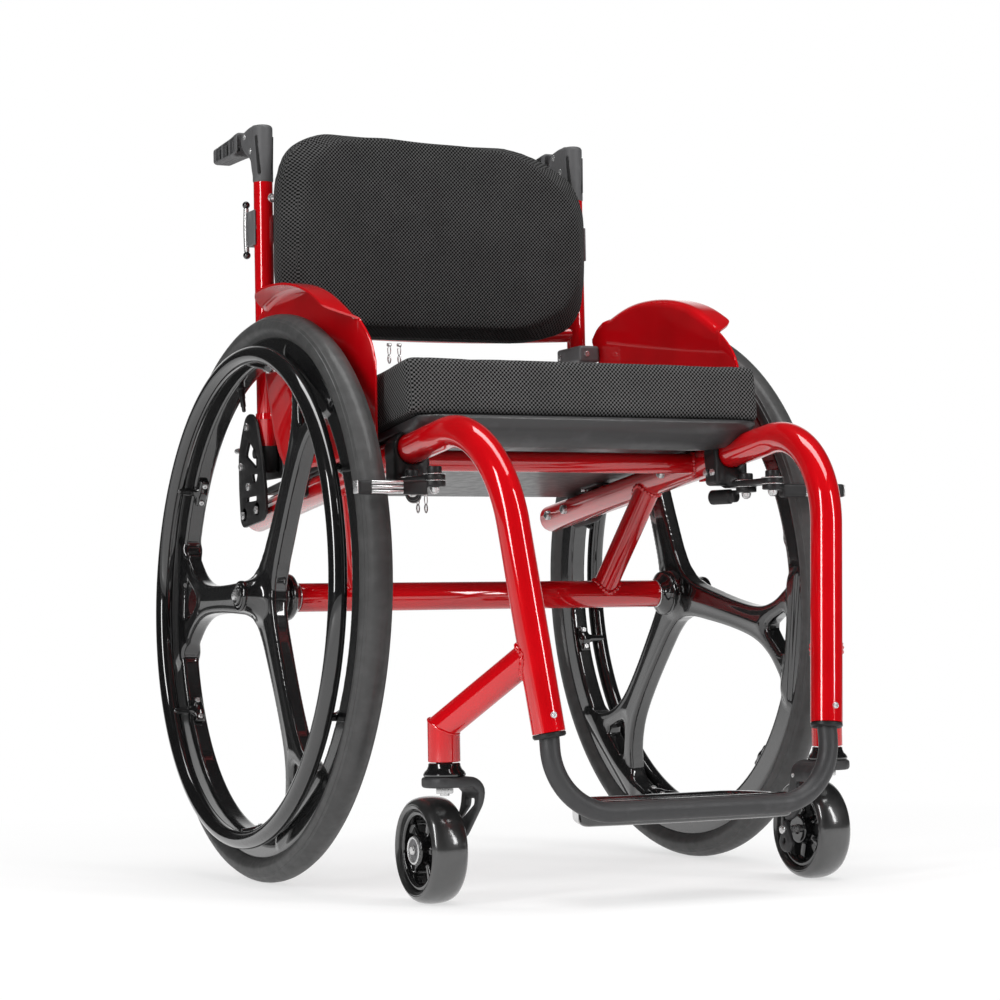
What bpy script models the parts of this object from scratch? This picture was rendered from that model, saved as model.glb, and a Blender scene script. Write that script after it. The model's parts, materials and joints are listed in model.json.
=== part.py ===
"""Ultralight wheelchair with a rigid tube frame, modelled piece by piece.

Metres, +Z up. The chair faces -Y and the sitter's right hand is on -X.
Every place below is written from the ground point under the rear axle, in the chair's own
frame. The empty named chair_joint carries that frame, so the model's origin is the middle
of the floor area that the whole chair covers.
"""
import math

import bmesh
import bpy
from mathutils import Matrix, Vector

SIDES = {"right": -1, "left": 1}
GAP = 0.0003                    # clearance between pieces that touch

# Sizes that most of the chair follows
SEAT_WIDTH = 0.396
HALF_SEAT = SEAT_WIDTH / 2
CUSHION_LENGTH = 0.387
SEAT_RAKE = 0.1162              # how much the seat tubes drop for each metre back

# Rear wheels
TYRE_RADIUS = 0.305             # 24 inch wheel
TYRE_WIDTH = 0.034
TYRE_DEPTH = 0.025
TYRE_BED_RADIUS = TYRE_RADIUS - TYRE_DEPTH      # where the tyre sits on the rim
CAMBER = math.radians(1.97)
WHEEL_TRACK = SEAT_WIDTH + 0.1146               # between wheel centres
RIM_DEPTH = 0.028
RIM_INNER_RADIUS = TYRE_BED_RADIUS - RIM_DEPTH
RIM_WIDTH = 0.021
WHEEL_STEPS = 44
SPOKE_THICKNESS = 0.018
SPOKE_PHASE = {"right": 60, "left": -12}    # first spoke, degrees up from the front
HUB_REACH = 0.032               # hub face to wheel plane, either side
HUB_RADIUS = 0.026
HUB_FLANGE_RADIUS = 0.027
HANDRIM_RADIUS = RIM_INNER_RADIUS + 0.0077
HANDRIM_TUBE_RADIUS = 0.0095
HANDRIM_OFFSET = 0.028          # outboard of the wheel plane
HANDRIM_TABS = 6
TAB_LENGTH = 0.032
TAB_WIDTH = 0.012
TAB_ARM_WIDTH = 0.009
TAB_THICKNESS = 0.007

# Quick-release axle
AXLE_RADIUS = 0.0065
AXLE_REACH_IN = 0.070           # past the wheel plane, into the camber tube
AXLE_HEAD_RADIUS = 0.0095
AXLE_HEAD_LENGTH = 0.006
BUTTON_RADIUS = 0.0045
BUTTON_PROUD = 0.003
BUTTON_TRAVEL = 0.002
BUTTON_LENGTH = 0.0065

# Frame tubes
MAIN_TUBE_RADIUS = 0.016
PAN_FRONT = (-0.272, 0.4808)           # Y and Z of the seat pan's top front edge
CUSHION_TO_CANE = 0.0266
CANE_Y = PAN_FRONT[0] + CUSHION_LENGTH * math.cos(math.atan(SEAT_RAKE)) + CUSHION_TO_CANE
FRONT_CORNER = Vector((HALF_SEAT - 0.0108, -0.4220, 0.4712))     # where seat line and leg line meet
SEAT_TUBE_REAR_Y = CANE_Y + 0.055
SEAT_TUBE_REAR = Vector((HALF_SEAT - 0.0075, SEAT_TUBE_REAR_Y,
                         FRONT_CORNER.z - SEAT_RAKE * (SEAT_TUBE_REAR_Y - FRONT_CORNER.y)))
FRONT_BEND_RADIUS = 0.110
LEG_FOOT = Vector((HALF_SEAT - 0.0435, -0.4585, 0.166))
LEG_BORE_RADIUS = 0.0138
CAMBER_TUBE_RADIUS = 0.014
CAMBER_TUBE_CLEARANCE = 0.0015         # tube end to hub face
RISER_RADIUS = 0.0138
RISER_FOOT_X = HALF_SEAT - 0.046
RISER_TOP_Y = -0.056
CROSSBAR_RADIUS = 0.0111
CROSSBAR_Y = -0.170

# Casters
CASTER_X = HALF_SEAT + 0.020
CASTER_Y = -0.361
CASTER_TRAIL = 0.034
CASTER_RADIUS = 0.052
CASTER_WIDTH = 0.037
CASTER_BED_RADIUS = 0.0395
CASTER_STEPS = 28
CASTER_WINDOWS = 5
BARREL_RADIUS = 0.0157
BARREL_FOOT_Z = 0.138
ELBOW_Z = 0.172
STRUT_RADIUS = 0.0146
STRUT_LEG_Z = 0.243                    # height where the strut's line meets the leg's
STEM_RADIUS = 0.008
STEM_DEPTH = 0.030                     # into the barrel
BOOT_RADII = (0.0207, 0.0157)
FORK_TOP_Z = 0.124
FORK_PLATE = 0.0105
FORK_HALF_WIDTH = 0.0215
FORK_OUTER_RADIUS = 0.0225             # round the swivel axis
FORK_ARM_GAP = 0.0085                  # between caster tyre and fork arm
FORK_ARM_THICKNESS = 0.007
FORK_FOOT_HALF_WIDTH = 0.0100
FORK_HOLE_STEP = 0.013                 # between the axle's three heights
CASTER_AXLE_RADIUS = 0.006

# Footrest
FOOT_TUBE_RADIUS = 0.00975
FOOT_TUBE_Z = 0.089
FOOT_BEND_RADIUS = 0.062
FOOT_STUB = 0.034                      # length held inside the leg
BUSHING_LENGTH = 0.0048
FOOTPLATE_TO_LEG = 0.0355              # footplate's front corner to the leg's axis
FOOTPLATE_TAPER = 0.033                # on either side
FOOTPLATE_FRONT_WIDTH = 2 * (LEG_FOOT.x - FOOTPLATE_TO_LEG)
FOOTPLATE_REAR_WIDTH = FOOTPLATE_FRONT_WIDTH - 2 * FOOTPLATE_TAPER
FOOTPLATE_LENGTH = 0.086
FOOTPLATE_HEIGHT = 0.024
FOOTPLATE_DROP = 0.0015                # plate's middle below the tube's middle

# Seat
PAN_WIDTH = SEAT_WIDTH
PAN_LENGTH = 0.433
PAN_THICKNESS = 0.009
PAN_OVERHANG = 0.008
LIP_WIDTH = PAN_WIDTH - 0.060
CUSHION_WIDTH = PAN_WIDTH + 0.014
CUSHION_THICKNESS = 0.0575
CUSHION_CORNER = 0.030                 # in plan
CUSHION_CROWN = 0.005
CUSHION_DRAW_IN = 0.004

# Side guards
GUARD_X = HALF_SEAT + 0.018            # middle of the panel
GUARD_THICKNESS = 0.0024
GUARD_LIP_X = GUARD_X + 0.030          # outer edge of the guard's lip
GUARD_LIP_INNER = (0.100, -0.158)      # the lip's ends in Y, along the panel
GUARD_LIP_OUTER = (0.044, -0.120)      # and along its outer edge
GUARD_BOSS_Y = (0.010, -0.130)
BOSS_RADIUS = 0.008

# Backrest
CANE_X = HALF_SEAT + 0.002
CANE_RADIUS = 0.0111
CANE_TOP_Z = 0.7812
BACK_PIVOT_Z = 0.470
CANE_FOOT_Z = BACK_PIVOT_Z - 0.018
PIVOT_PIN_RADIUS = 0.006
BACK_BAR_RADIUS = 0.009
BACK_BAR_Z = 0.619
BACK_MOUNT_Z = 0.728
BACK_BOLT_RADIUS = 0.004
BACK_CENTRE_Z = 0.720
BACK_HALF_WIDTH = CANE_X - 0.001
BACK_HALF_HEIGHT = 0.116
BACK_THICKNESS = 0.050
BACK_REAR_Y = CANE_Y - 0.0175
BACK_WRAP = 0.008                      # how far the sides come forward of the middle
BACK_CROWN = 0.004
BACK_TAPER = 0.09                      # how much smaller the front face is than the rear
BACK_TOP_POWER = 2.8                   # squareness of the outline's upper corners
BACK_FOOT_POWER = 3.7
SHELL_THICKNESS = 0.003
BACK_MOUNT_CHEEK = 0.0022
BACK_MOUNT_BLOCK = 0.010
BACK_MOUNT_HEIGHT = 0.040
HINGE_PLATE_X = CANE_X + 0.014
HINGE_PLATE_THICKNESS = 0.004
HINGE_BOLT_Y = (CANE_Y - 0.007, CANE_Y + 0.033)
CLAMP_Z = 0.592
CLAMP_SIZE = (0.027, 0.060, 0.020)
CLAMP_Y = CANE_Y - 0.004

# Push handles
SLEEVE_RADIUS = 0.0117
HEAD_TOP_Z = CANE_TOP_Z + 0.0678
GRIP_PIVOT = (CANE_Y + 0.028, HEAD_TOP_Z - 0.012)      # Y and Z
GRIP_PIN_RADIUS = 0.003
GRIP_RADIUS = 0.0135
GRIP_START_Y = GRIP_PIVOT[0] + 0.0195
GRIP_LENGTH = 0.086
TONGUE_THICKNESS = 0.010
TONGUE_RADIUS = 0.0075

# Brakes
BRAKE_MOUNT_SIZE = (0.040, 0.027)
BRAKE_PLATE_Z = 0.4155
BRAKE_LINK_THICKNESS = 0.006
BRAKE_PIN_RADIUS = 0.004
BRAKE_EYE_RADIUS = 0.011
BRAKE_BAR_RADIUS = 0.007
BRAKE_CLEARANCE = 0.01172              # between bar and tyre while the brake is off
TYRE_FRONT_AT_BRAKE = math.sqrt(TYRE_RADIUS ** 2 - (BRAKE_PLATE_Z - TYRE_RADIUS) ** 2)
BAR_PIVOT = (HALF_SEAT - 0.002, -TYRE_FRONT_AT_BRAKE - BRAKE_BAR_RADIUS - BRAKE_CLEARANCE)
LEVER_PIVOT = (HALF_SEAT - 0.002, BAR_PIVOT[1] + 0.053)
LEVER_END = (HALF_SEAT - 0.0215, LEVER_PIVOT[1] + 0.040)
BRAKE_MOUNT_Y = LEVER_PIVOT[1] + 0.053
BRAKE_BAR_END_X = WHEEL_TRACK / 2 + 0.0257

FINISHES = {
    # name: colour, roughness, metallic
    "frame_red": ((0.62, 0.005, 0.012), 0.20, 0.3),
    "tyre_rubber": ((0.030, 0.030, 0.031), 0.65, 0.0),
    "wheel_carbon": ((0.012, 0.012, 0.013), 0.18, 0.0),
    "gloss_black": ((0.010, 0.010, 0.011), 0.12, 0.2),
    "satin_black": ((0.022, 0.022, 0.024), 0.40, 0.4),
    "steel": ((0.62, 0.62, 0.63), 0.28, 1.0),
    "grip_rubber": ((0.045, 0.045, 0.047), 0.60, 0.0),
    "foot_grey": ((0.060, 0.061, 0.064), 0.42, 0.5),
    "pan_grey": ((0.050, 0.050, 0.052), 0.50, 0.0),
    "mesh_cloth": ((0.020, 0.020, 0.021), 0.85, 0.0),
    "caster_rubber": ((0.035, 0.035, 0.036), 0.35, 0.0),
}

# Frames that turn a flat outline's own X and Y onto the chair's axes
SIDE_PLANE = Matrix(((0, 0, 1, 0), (1, 0, 0, 0), (0, 1, 0, 0), (0, 0, 0, 1)))
FRONT_PLANE = Matrix(((1, 0, 0, 0), (0, 0, -1, 0), (0, 1, 0, 0), (0, 0, 0, 1)))

AXLE_Z = TYRE_RADIUS * math.cos(CAMBER)
FRAMES = {}
BODIES = {}


# Scene, materials and placing

def clear_scene():
    for obj in list(bpy.data.objects):
        bpy.data.objects.remove(obj, do_unlink=True)


def new_collection(name):
    collection = bpy.data.collections.new(name)
    bpy.context.scene.collection.children.link(collection)
    return collection


def finish_material(name):
    if name in bpy.data.materials:
        return bpy.data.materials[name]
    colour, roughness, metallic = FINISHES[name]
    material = bpy.data.materials.new(name)
    material.use_nodes = True
    shader = material.node_tree.nodes["Principled BSDF"]
    shader.inputs["Base Color"].default_value = (*colour, 1)
    shader.inputs["Roughness"].default_value = roughness
    shader.inputs["Metallic"].default_value = metallic
    material.diffuse_color = (*colour, 1)
    return material


def add_body(name, frame, parent):
    """An empty on a moving body's joint; frame is in the chair's own coordinates."""
    empty = bpy.data.objects.new(f"{name}_joint", None)
    empty.empty_display_size = 0.03
    PARTS.objects.link(empty)
    empty.parent = BODIES.get(parent)
    carrier = FRAMES.get(parent, Matrix())
    empty.matrix_basis = carrier.inverted() @ frame
    BODIES[name] = empty
    FRAMES[name] = frame


def add_piece(name, data, finish, body, frame=Matrix()):
    """One sub-part, standing at a frame in chair coordinates and carried by its body."""
    piece = bpy.data.objects.new(name, data)
    PARTS.objects.link(piece)
    piece.parent = BODIES[body]
    piece.matrix_basis = FRAMES[body].inverted() @ frame
    data.materials.append(finish_material(finish))
    return piece


def combine(piece, operation, data, frame, body):
    """Cut a piece with a hidden shape, or join the shape to it."""
    guide = bpy.data.objects.new(f"{piece.name}_{operation.lower()}", data)
    GUIDES.objects.link(guide)
    guide.parent = BODIES[body]
    guide.matrix_basis = FRAMES[body].inverted() @ frame
    guide.hide_render = True
    guide.display_type = "WIRE"
    modifier = piece.modifiers.new(operation.title(), "BOOLEAN")
    modifier.operation = operation
    modifier.object = guide
    modifier.solver = "EXACT"


def bevel(piece, width, segments=1, angle=40):
    modifier = piece.modifiers.new("Bevel", "BEVEL")
    modifier.width = width
    modifier.segments = segments
    modifier.limit_method = "ANGLE"
    modifier.angle_limit = math.radians(angle)
    modifier.use_clamp_overlap = True


# Shapes

def shaded(mesh, angle=35):
    mesh.shade_smooth()
    mesh.set_sharp_from_angle(angle=math.radians(angle))
    return mesh


def to_mesh(bm, name):
    mesh = bpy.data.meshes.new(name)
    bm.to_mesh(mesh)
    bm.free()
    return shaded(mesh)


def curve_to_mesh(curve):
    """The closed mesh of a curve, with its caps welded on."""
    holder = bpy.data.objects.new(curve.name, curve)
    bpy.context.scene.collection.objects.link(holder)
    depsgraph = bpy.context.evaluated_depsgraph_get()
    mesh = bpy.data.meshes.new_from_object(holder.evaluated_get(depsgraph))
    bm = bmesh.new()
    bm.from_mesh(mesh)
    bmesh.ops.remove_doubles(bm, verts=bm.verts, dist=1e-5)
    bmesh.ops.recalc_face_normals(bm, faces=bm.faces)
    bm.to_mesh(mesh)
    bm.free()
    bpy.data.objects.remove(holder)
    bpy.data.curves.remove(curve)
    return shaded(mesh)


def flat_mesh(outline, thickness, holes=()):
    """A flat outline with holes, as a solid centred on its own plane."""
    curve = bpy.data.curves.new("outline", "CURVE")
    curve.dimensions = "2D"
    curve.fill_mode = "BOTH"
    curve.extrude = thickness / 2
    for points in (outline, *holes):
        spline = curve.splines.new("POLY")
        spline.points.add(len(points) - 1)
        for point, (x, y) in zip(spline.points, points):
            point.co = (x, y, 0, 1)
        spline.use_cyclic_u = True
    return curve_to_mesh(curve)


def tube_curve(points, radius, sides=16, scales=()):
    """A round tube along points; scales, where given, thins it at its first points."""
    curve = bpy.data.curves.new("tube", "CURVE")
    curve.dimensions = "3D"
    curve.bevel_depth = radius
    curve.bevel_resolution = (sides - 4) // 2
    curve.use_fill_caps = True
    spline = curve.splines.new("POLY")
    spline.points.add(len(points) - 1)
    for point, place in zip(spline.points, points):
        point.co = (*place, 1)
    for point, scale in zip(spline.points, scales):
        point.radius = scale
    return curve


def rod_mesh(radius, length, sides=20, end_radius=None):
    """A round bar along Z, centred on the origin."""
    bm = bmesh.new()
    tip = radius if end_radius is None else end_radius
    bmesh.ops.create_cone(bm, cap_ends=True, segments=sides, radius1=radius, radius2=tip, depth=length)
    return to_mesh(bm, "rod")


def box_mesh(x, y, z):
    bm = bmesh.new()
    bmesh.ops.create_cube(bm, size=1)
    bmesh.ops.scale(bm, vec=(x, y, z), verts=bm.verts)
    return to_mesh(bm, "box")


def joined_mesh(meshes_at):
    """Several shapes that don't touch, as one guide."""
    bm = bmesh.new()
    for mesh, frame in meshes_at:
        part = mesh.copy()
        part.transform(frame)
        bm.from_mesh(part)
    return to_mesh(bm, "group")


def turned_piece(name, profile, steps, finish, body, frame, closed=False):
    """A profile of (radius, height) points turned about the frame's Z."""
    mesh = bpy.data.meshes.new(name)
    edges = [(i, i + 1) for i in range(len(profile) - 1)]
    if closed:
        edges.append((len(profile) - 1, 0))
    mesh.from_pydata([(radius, 0, height) for radius, height in profile], edges, [])
    piece = add_piece(name, mesh, finish, body, frame)
    screw = piece.modifiers.new("Screw", "SCREW")
    screw.steps = steps
    screw.render_steps = steps
    screw.use_merge_vertices = True
    screw.merge_threshold = 1e-5
    screw.use_smooth_shade = True
    return piece


def turned_mesh(profile, steps, closed=False):
    """The same turned shape as a plain mesh, for joining and cutting."""
    bm = bmesh.new()
    verts = [bm.verts.new((radius, 0, height)) for radius, height in profile]
    edges = [bm.edges.new(pair) for pair in zip(verts, verts[1:])]
    if closed:
        edges.append(bm.edges.new((verts[-1], verts[0])))
    bmesh.ops.spin(bm, geom=verts + edges, cent=(0, 0, 0), axis=(0, 0, 1), angle=math.tau,
                   steps=steps, use_merge=True)
    bmesh.ops.remove_doubles(bm, verts=bm.verts, dist=1e-5)
    bmesh.ops.recalc_face_normals(bm, faces=bm.faces)
    return to_mesh(bm, "turned")


# Geometry

def at(x, y, z):
    return Matrix.Translation((x, y, z))


def frame_on(origin, z_axis, x_hint=(1, 0, 0)):
    """A frame at origin with the given Z, and X as near as it can be to x_hint."""
    z = Vector(z_axis).normalized()
    y = z.cross(Vector(x_hint)).normalized()
    x = y.cross(z)
    frame = Matrix((x, y, z)).transposed().to_4x4()
    frame.translation = origin
    return frame


def span(start, end):
    """The frame and length of a bar from start to end."""
    start, end = Vector(start), Vector(end)
    return frame_on((start + end) / 2, end - start, (0.31, 0.95, 0.05)), (end - start).length


def clear_radius(radius, sides):
    """A faceted cutter's radius that stays clear of a round piece."""
    return (radius + GAP) / math.cos(math.pi / sides)


def circle(x, y, radius, count, start=0.0):
    turn = math.tau / count
    return [(x + radius * math.cos(start + turn * i), y + radius * math.sin(start + turn * i))
            for i in range(count)]


def arc(x, y, radius, first, last, count):
    """Points on an arc between two angles in degrees, both ends included."""
    angles = [math.radians(first + (last - first) * i / (count - 1)) for i in range(count)]
    return [(x + radius * math.cos(a), y + radius * math.sin(a)) for a in angles]


def eased(points):
    """The same open line with a point added in each inner span, on a smooth curve."""
    points = [Vector(p) for p in points]
    line = [points[0]]
    for i in range(1, len(points)):
        if 1 < i < len(points) - 1:
            line.append((9 * (points[i - 1] + points[i]) - points[i - 2] - points[i + 1]) / 16)
        line.append(points[i])
    return line


def height_on(line, along):
    """The second coordinate where a line that runs from high to low passes a first one."""
    for before, after in zip(line, line[1:]):
        if after[0] <= along <= before[0]:
            part = (before[0] - along) / (before[0] - after[0])
            return before[1] + (after[1] - before[1]) * part
    return line[-1][1]


def filleted(points, radius, steps):
    """A 3D path whose inner corners are rounded to a bend radius."""
    points = [Vector(p) for p in points]
    path = [points[0]]
    for before, corner, after in zip(points, points[1:], points[2:]):
        into = (corner - before).normalized()
        out = (after - corner).normalized()
        turn = into.angle(out)
        reach = radius * math.tan(turn / 2)
        start = corner - into * reach
        inward = (out - into * into.dot(out)).normalized()
        centre = start + inward * radius
        for i in range(steps + 1):
            angle = turn * i / steps
            path.append(centre - inward * radius * math.cos(angle) + into * radius * math.sin(angle))
    path.append(points[-1])
    return path


def seat_tube_point(side, y):
    part = (SEAT_TUBE_REAR.y - y) / (SEAT_TUBE_REAR.y - FRONT_CORNER.y)
    point = SEAT_TUBE_REAR.lerp(FRONT_CORNER, part)
    return Vector((side * point.x, point.y, point.z))


def seat_tube_z(y):
    return seat_tube_point(1, y).z


def leg_point(side, z):
    point = LEG_FOOT.lerp(FRONT_CORNER, (z - LEG_FOOT.z) / (FRONT_CORNER.z - LEG_FOOT.z))
    return Vector((side * point.x, point.y, point.z))


def leg_direction(side):
    return (leg_point(side, LEG_FOOT.z) - leg_point(side, FRONT_CORNER.z)).normalized()


def slide_direction():
    down = leg_direction(1)
    return Vector((0, down.y, down.z)).normalized()


def foot_drop():
    """Distance along the slide from the leg's mouth to the footrest's cross tube."""
    return (FOOT_TUBE_Z - LEG_FOOT.z) / slide_direction().z


def axle_y():
    """The rear axle's place behind the middle of the chair's length."""
    front_reach = -(LEG_FOOT + slide_direction() * foot_drop()).y + FOOT_TUBE_RADIUS
    return (front_reach - TYRE_RADIUS) / 2


def wheel_frame(side):
    """Z runs outboard along the axle, Y up in the wheel's plane."""
    axis = Vector((side * math.cos(CAMBER), 0, math.sin(CAMBER)))
    up = Vector((-side * math.sin(CAMBER), 0, math.cos(CAMBER)))
    return frame_on((side * WHEEL_TRACK / 2, 0, AXLE_Z), axis, up.cross(axis))


def wheel_angle(side, degrees_from_front):
    """A direction given up from the chair's front, as an angle in the wheel's own frame."""
    angle = math.radians(degrees_from_front)
    return angle if side < 0 else math.pi - angle


def caster_frame(side):
    centre = (side * CASTER_X, CASTER_Y + CASTER_TRAIL, CASTER_RADIUS)
    return frame_on(centre, (side, 0, 0), (0, side, 0))


def seat_frame():
    """Origin at the pan's top front edge, X across, Y back along the slope, Z out of the seat."""
    slope = SEAT_TUBE_REAR - FRONT_CORNER
    back = Vector((0, slope.y, slope.z)).normalized()
    return frame_on((0, *PAN_FRONT), Vector((1, 0, 0)).cross(back), (1, 0, 0))


# Frame

def make_side_frame(name, side):
    rear = seat_tube_point(side, SEAT_TUBE_REAR.y)
    dome = [rear + Vector((0, back, 0)) for back in (0.0045, 0.003)]
    corner = leg_point(side, FRONT_CORNER.z)
    bent = filleted([rear, corner, leg_point(side, LEG_FOOT.z)], FRONT_BEND_RADIUS, 9)
    mesh = curve_to_mesh(tube_curve(dome + bent, MAIN_TUBE_RADIUS, 16, (0.5, 0.82)))
    piece = add_piece(f"side_frame_{name}", mesh, "frame_red", "chair")
    foot = leg_point(side, LEG_FOOT.z)
    direction = leg_direction(side)
    depth = FOOT_STUB + 0.006
    frame, length = span(foot + direction * 0.002, foot - direction * depth)
    combine(piece, "DIFFERENCE", rod_mesh(LEG_BORE_RADIUS, length, 18), frame, "chair")


def tube_cutter(start, end, radius, sides=24):
    frame, length = span(start, end)
    return rod_mesh(clear_radius(radius, sides), length, sides), frame


def seat_tube_cutter(side):
    rear = seat_tube_point(side, SEAT_TUBE_REAR.y + 0.02)
    front = seat_tube_point(side, FRONT_CORNER.y + FRONT_BEND_RADIUS)
    return tube_cutter(rear, front, MAIN_TUBE_RADIUS)


def camber_tube_end():
    return WHEEL_TRACK / 2 - HUB_REACH - CAMBER_TUBE_CLEARANCE


def camber_tube_z():
    """The tube runs where the two leaning axles cross into it."""
    return AXLE_Z - (HUB_REACH + CAMBER_TUBE_CLEARANCE) * math.tan(CAMBER)


def make_camber_tube():
    end = camber_tube_end()
    height = camber_tube_z()
    frame, length = span((-end, 0, height), (end, 0, height))
    tube = add_piece("camber_tube", rod_mesh(CAMBER_TUBE_RADIUS, length, 20), "frame_red", "chair", frame)
    for side in SIDES.values():
        wheel = wheel_frame(side)
        depth = AXLE_REACH_IN + 0.0015
        centre = wheel @ at(0, 0, -depth / 2)
        bore = rod_mesh(clear_radius(AXLE_RADIUS, 16), depth, 16)
        combine(tube, "DIFFERENCE", bore, centre, "chair")


def make_riser(name, side):
    foot = (side * RISER_FOOT_X, 0, camber_tube_z())
    frame, length = span(foot, seat_tube_point(side, RISER_TOP_Y))
    riser = add_piece(f"riser_{name}", rod_mesh(RISER_RADIUS, length, 16), "frame_red", "chair", frame)
    combine(riser, "DIFFERENCE", *seat_tube_cutter(side), "chair")
    end = camber_tube_end()
    combine(riser, "DIFFERENCE", *tube_cutter((-end, 0, foot[2]), (end, 0, foot[2]), CAMBER_TUBE_RADIUS), "chair")


def make_crossbar():
    frame, length = span(seat_tube_point(-1, CROSSBAR_Y), seat_tube_point(1, CROSSBAR_Y))
    bar = add_piece("front_crossbar", rod_mesh(CROSSBAR_RADIUS, length, 16), "frame_red", "chair", frame)
    for side in SIDES.values():
        combine(bar, "DIFFERENCE", *seat_tube_cutter(side), "chair")


def make_caster_mount(name, side):
    """The vertical barrel and the strut that carries it from the leg, mitred together."""
    elbow = Vector((side * CASTER_X, CASTER_Y, ELBOW_Z))
    leg = leg_point(side, STRUT_LEG_Z)
    along = (leg - elbow).normalized()
    mitre = (along + Vector((0, 0, 1))).normalized()
    block = 0.12
    overrun = 0.03

    top = elbow + Vector((0, 0, overrun))
    frame, length = span((elbow.x, elbow.y, BARREL_FOOT_Z), top)
    barrel = add_piece(f"caster_barrel_{name}", rod_mesh(BARREL_RADIUS, length, 18), "frame_red", "chair",
                       frame)
    above = frame_on(elbow + mitre * (block - GAP) / 2, mitre, (0.3, 0.9, 0.1))
    combine(barrel, "DIFFERENCE", box_mesh(block, block, block), above, "chair")
    bore_top = BARREL_FOOT_Z + STEM_DEPTH + 0.002
    frame, length = span((elbow.x, elbow.y, BARREL_FOOT_Z - 0.01), (elbow.x, elbow.y, bore_top))
    combine(barrel, "DIFFERENCE", rod_mesh(STEM_RADIUS + 0.0005, length, 16), frame, "chair")

    frame, length = span(elbow - along * overrun, leg)
    strut = add_piece(f"caster_strut_{name}", rod_mesh(STRUT_RADIUS, length, 18), "frame_red", "chair", frame)
    below = frame_on(elbow - mitre * (block - GAP) / 2, mitre, (0.3, 0.9, 0.1))
    combine(strut, "DIFFERENCE", box_mesh(block, block, block), below, "chair")
    leg_line = tube_cutter(leg_point(side, STRUT_LEG_Z - 0.06), leg_point(side, STRUT_LEG_Z + 0.06),
                           MAIN_TUBE_RADIUS)
    combine(strut, "DIFFERENCE", *leg_line, "chair")


# Rear wheels

def spoke_outline():
    """Half width against distance from the hub centre, mirrored into one closed outline."""
    rim = RIM_INNER_RADIUS
    half = [(0.016, 0.0190), (0.036, 0.0230), (0.062, 0.0185), (rim / 2 + 0.004, 0.0160),
            (rim - 0.072, 0.0195), (rim - 0.040, 0.0300), (rim - 0.016, 0.0490), (rim + 0.0025, 0.0640)]
    return half + [(u, -v) for u, v in reversed(half)]


def spoke_hole():
    """The small opening where a spoke forks into the rim."""
    rim = RIM_INNER_RADIUS
    half = [(rim - 0.046, 0.0030), (rim - 0.036, 0.0110), (rim - 0.016, 0.0220), (rim - 0.0095, 0.0190)]
    return half + [(u, -v) for u, v in reversed(half)]


def make_wheel(name, side):
    frame = wheel_frame(side)
    body = f"rear_wheel_{name}"
    bed = TYRE_BED_RADIUS - GAP
    half = RIM_WIDTH / 2
    rim_profile = [(bed, half), (bed, -half), (RIM_INNER_RADIUS, -half + 0.002),
                   (RIM_INNER_RADIUS, half - 0.002)]
    rim = add_piece(f"wheel_{name}", turned_mesh(rim_profile, WHEEL_STEPS, closed=True), "wheel_carbon",
                    body, frame)
    spoke = flat_mesh(spoke_outline(), SPOKE_THICKNESS, [spoke_hole()])
    for i in range(3):
        angle = wheel_angle(side, SPOKE_PHASE[name] + 120 * i)
        combine(rim, "UNION", spoke.copy(), frame @ Matrix.Rotation(angle, 4, "Z"), body)
    bore = AXLE_RADIUS + GAP
    hub_profile = [(bore / 2, HUB_REACH), (0.016, HUB_REACH), (0.0205, HUB_REACH - 0.005), (HUB_RADIUS, 0.008),
                   (0.0205, -0.016), (HUB_FLANGE_RADIUS, -0.0225), (HUB_FLANGE_RADIUS, -HUB_REACH),
                   (bore / 2, -HUB_REACH)]
    combine(rim, "UNION", turned_mesh(hub_profile, 18, closed=True), frame, body)
    combine(rim, "DIFFERENCE", rod_mesh(clear_radius(AXLE_RADIUS, 16), 0.08, 16), frame, body)


def make_tyre(name, side):
    bed = TYRE_BED_RADIUS
    half = TYRE_WIDTH / 2
    bead = RIM_WIDTH / 2
    upper = [(bed, bead), (bed + 0.009, half), (TYRE_RADIUS - 0.0055, half * 0.78),
             (TYRE_RADIUS - 0.0012, half * 0.38)]
    profile = upper + [(TYRE_RADIUS, 0)] + [(radius, -height) for radius, height in reversed(upper)]
    turned_piece(f"tyre_{name}", profile, WHEEL_STEPS, "tyre_rubber", f"rear_wheel_{name}",
                 wheel_frame(side), closed=True)


def make_handrim(name, side):
    """The push ring and the six tabs that hold it off the rim."""
    frame = wheel_frame(side)
    body = f"rear_wheel_{name}"
    ring = [(HANDRIM_RADIUS + radius, HANDRIM_OFFSET + height)
            for radius, height in reversed(circle(0, 0, HANDRIM_TUBE_RADIUS, 8))]
    handrim = add_piece(f"handrim_{name}", turned_mesh(ring, WHEEL_STEPS, closed=True), "gloss_black",
                        body, frame)
    reach = HANDRIM_OFFSET + TAB_WIDTH / 2
    foot, arm = TAB_LENGTH / 2, TAB_ARM_WIDTH / 2
    inner = -TAB_WIDTH / 2
    outline = [(inner, -foot), (-inner, -foot), (-inner, -arm), (reach + inner, -arm), (reach + inner, arm),
               (-inner, arm), (-inner, foot), (inner, foot)]
    tab = flat_mesh(outline, TAB_THICKNESS)
    top = math.sqrt((RIM_INNER_RADIUS * math.cos(math.pi / WHEEL_STEPS)) ** 2 - foot ** 2) - GAP
    # the tab's own X runs outboard, its Y round the rim and its Z inward from the rim
    stand = Matrix(((0, 0, 1, top - TAB_THICKNESS / 2), (0, 1, 0, 0), (-1, 0, 0, 0), (0, 0, 0, 1)))
    flip = Matrix.Rotation(math.pi, 4, "Z")
    tabs = []
    for i in range(HANDRIM_TABS):
        turn = Matrix.Rotation(wheel_angle(side, 30 + 360 * i / HANDRIM_TABS), 4, "Z")
        tabs.append((tab, turn @ stand @ flip))
    combine(handrim, "UNION", joined_mesh(tabs), frame, body)


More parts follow.
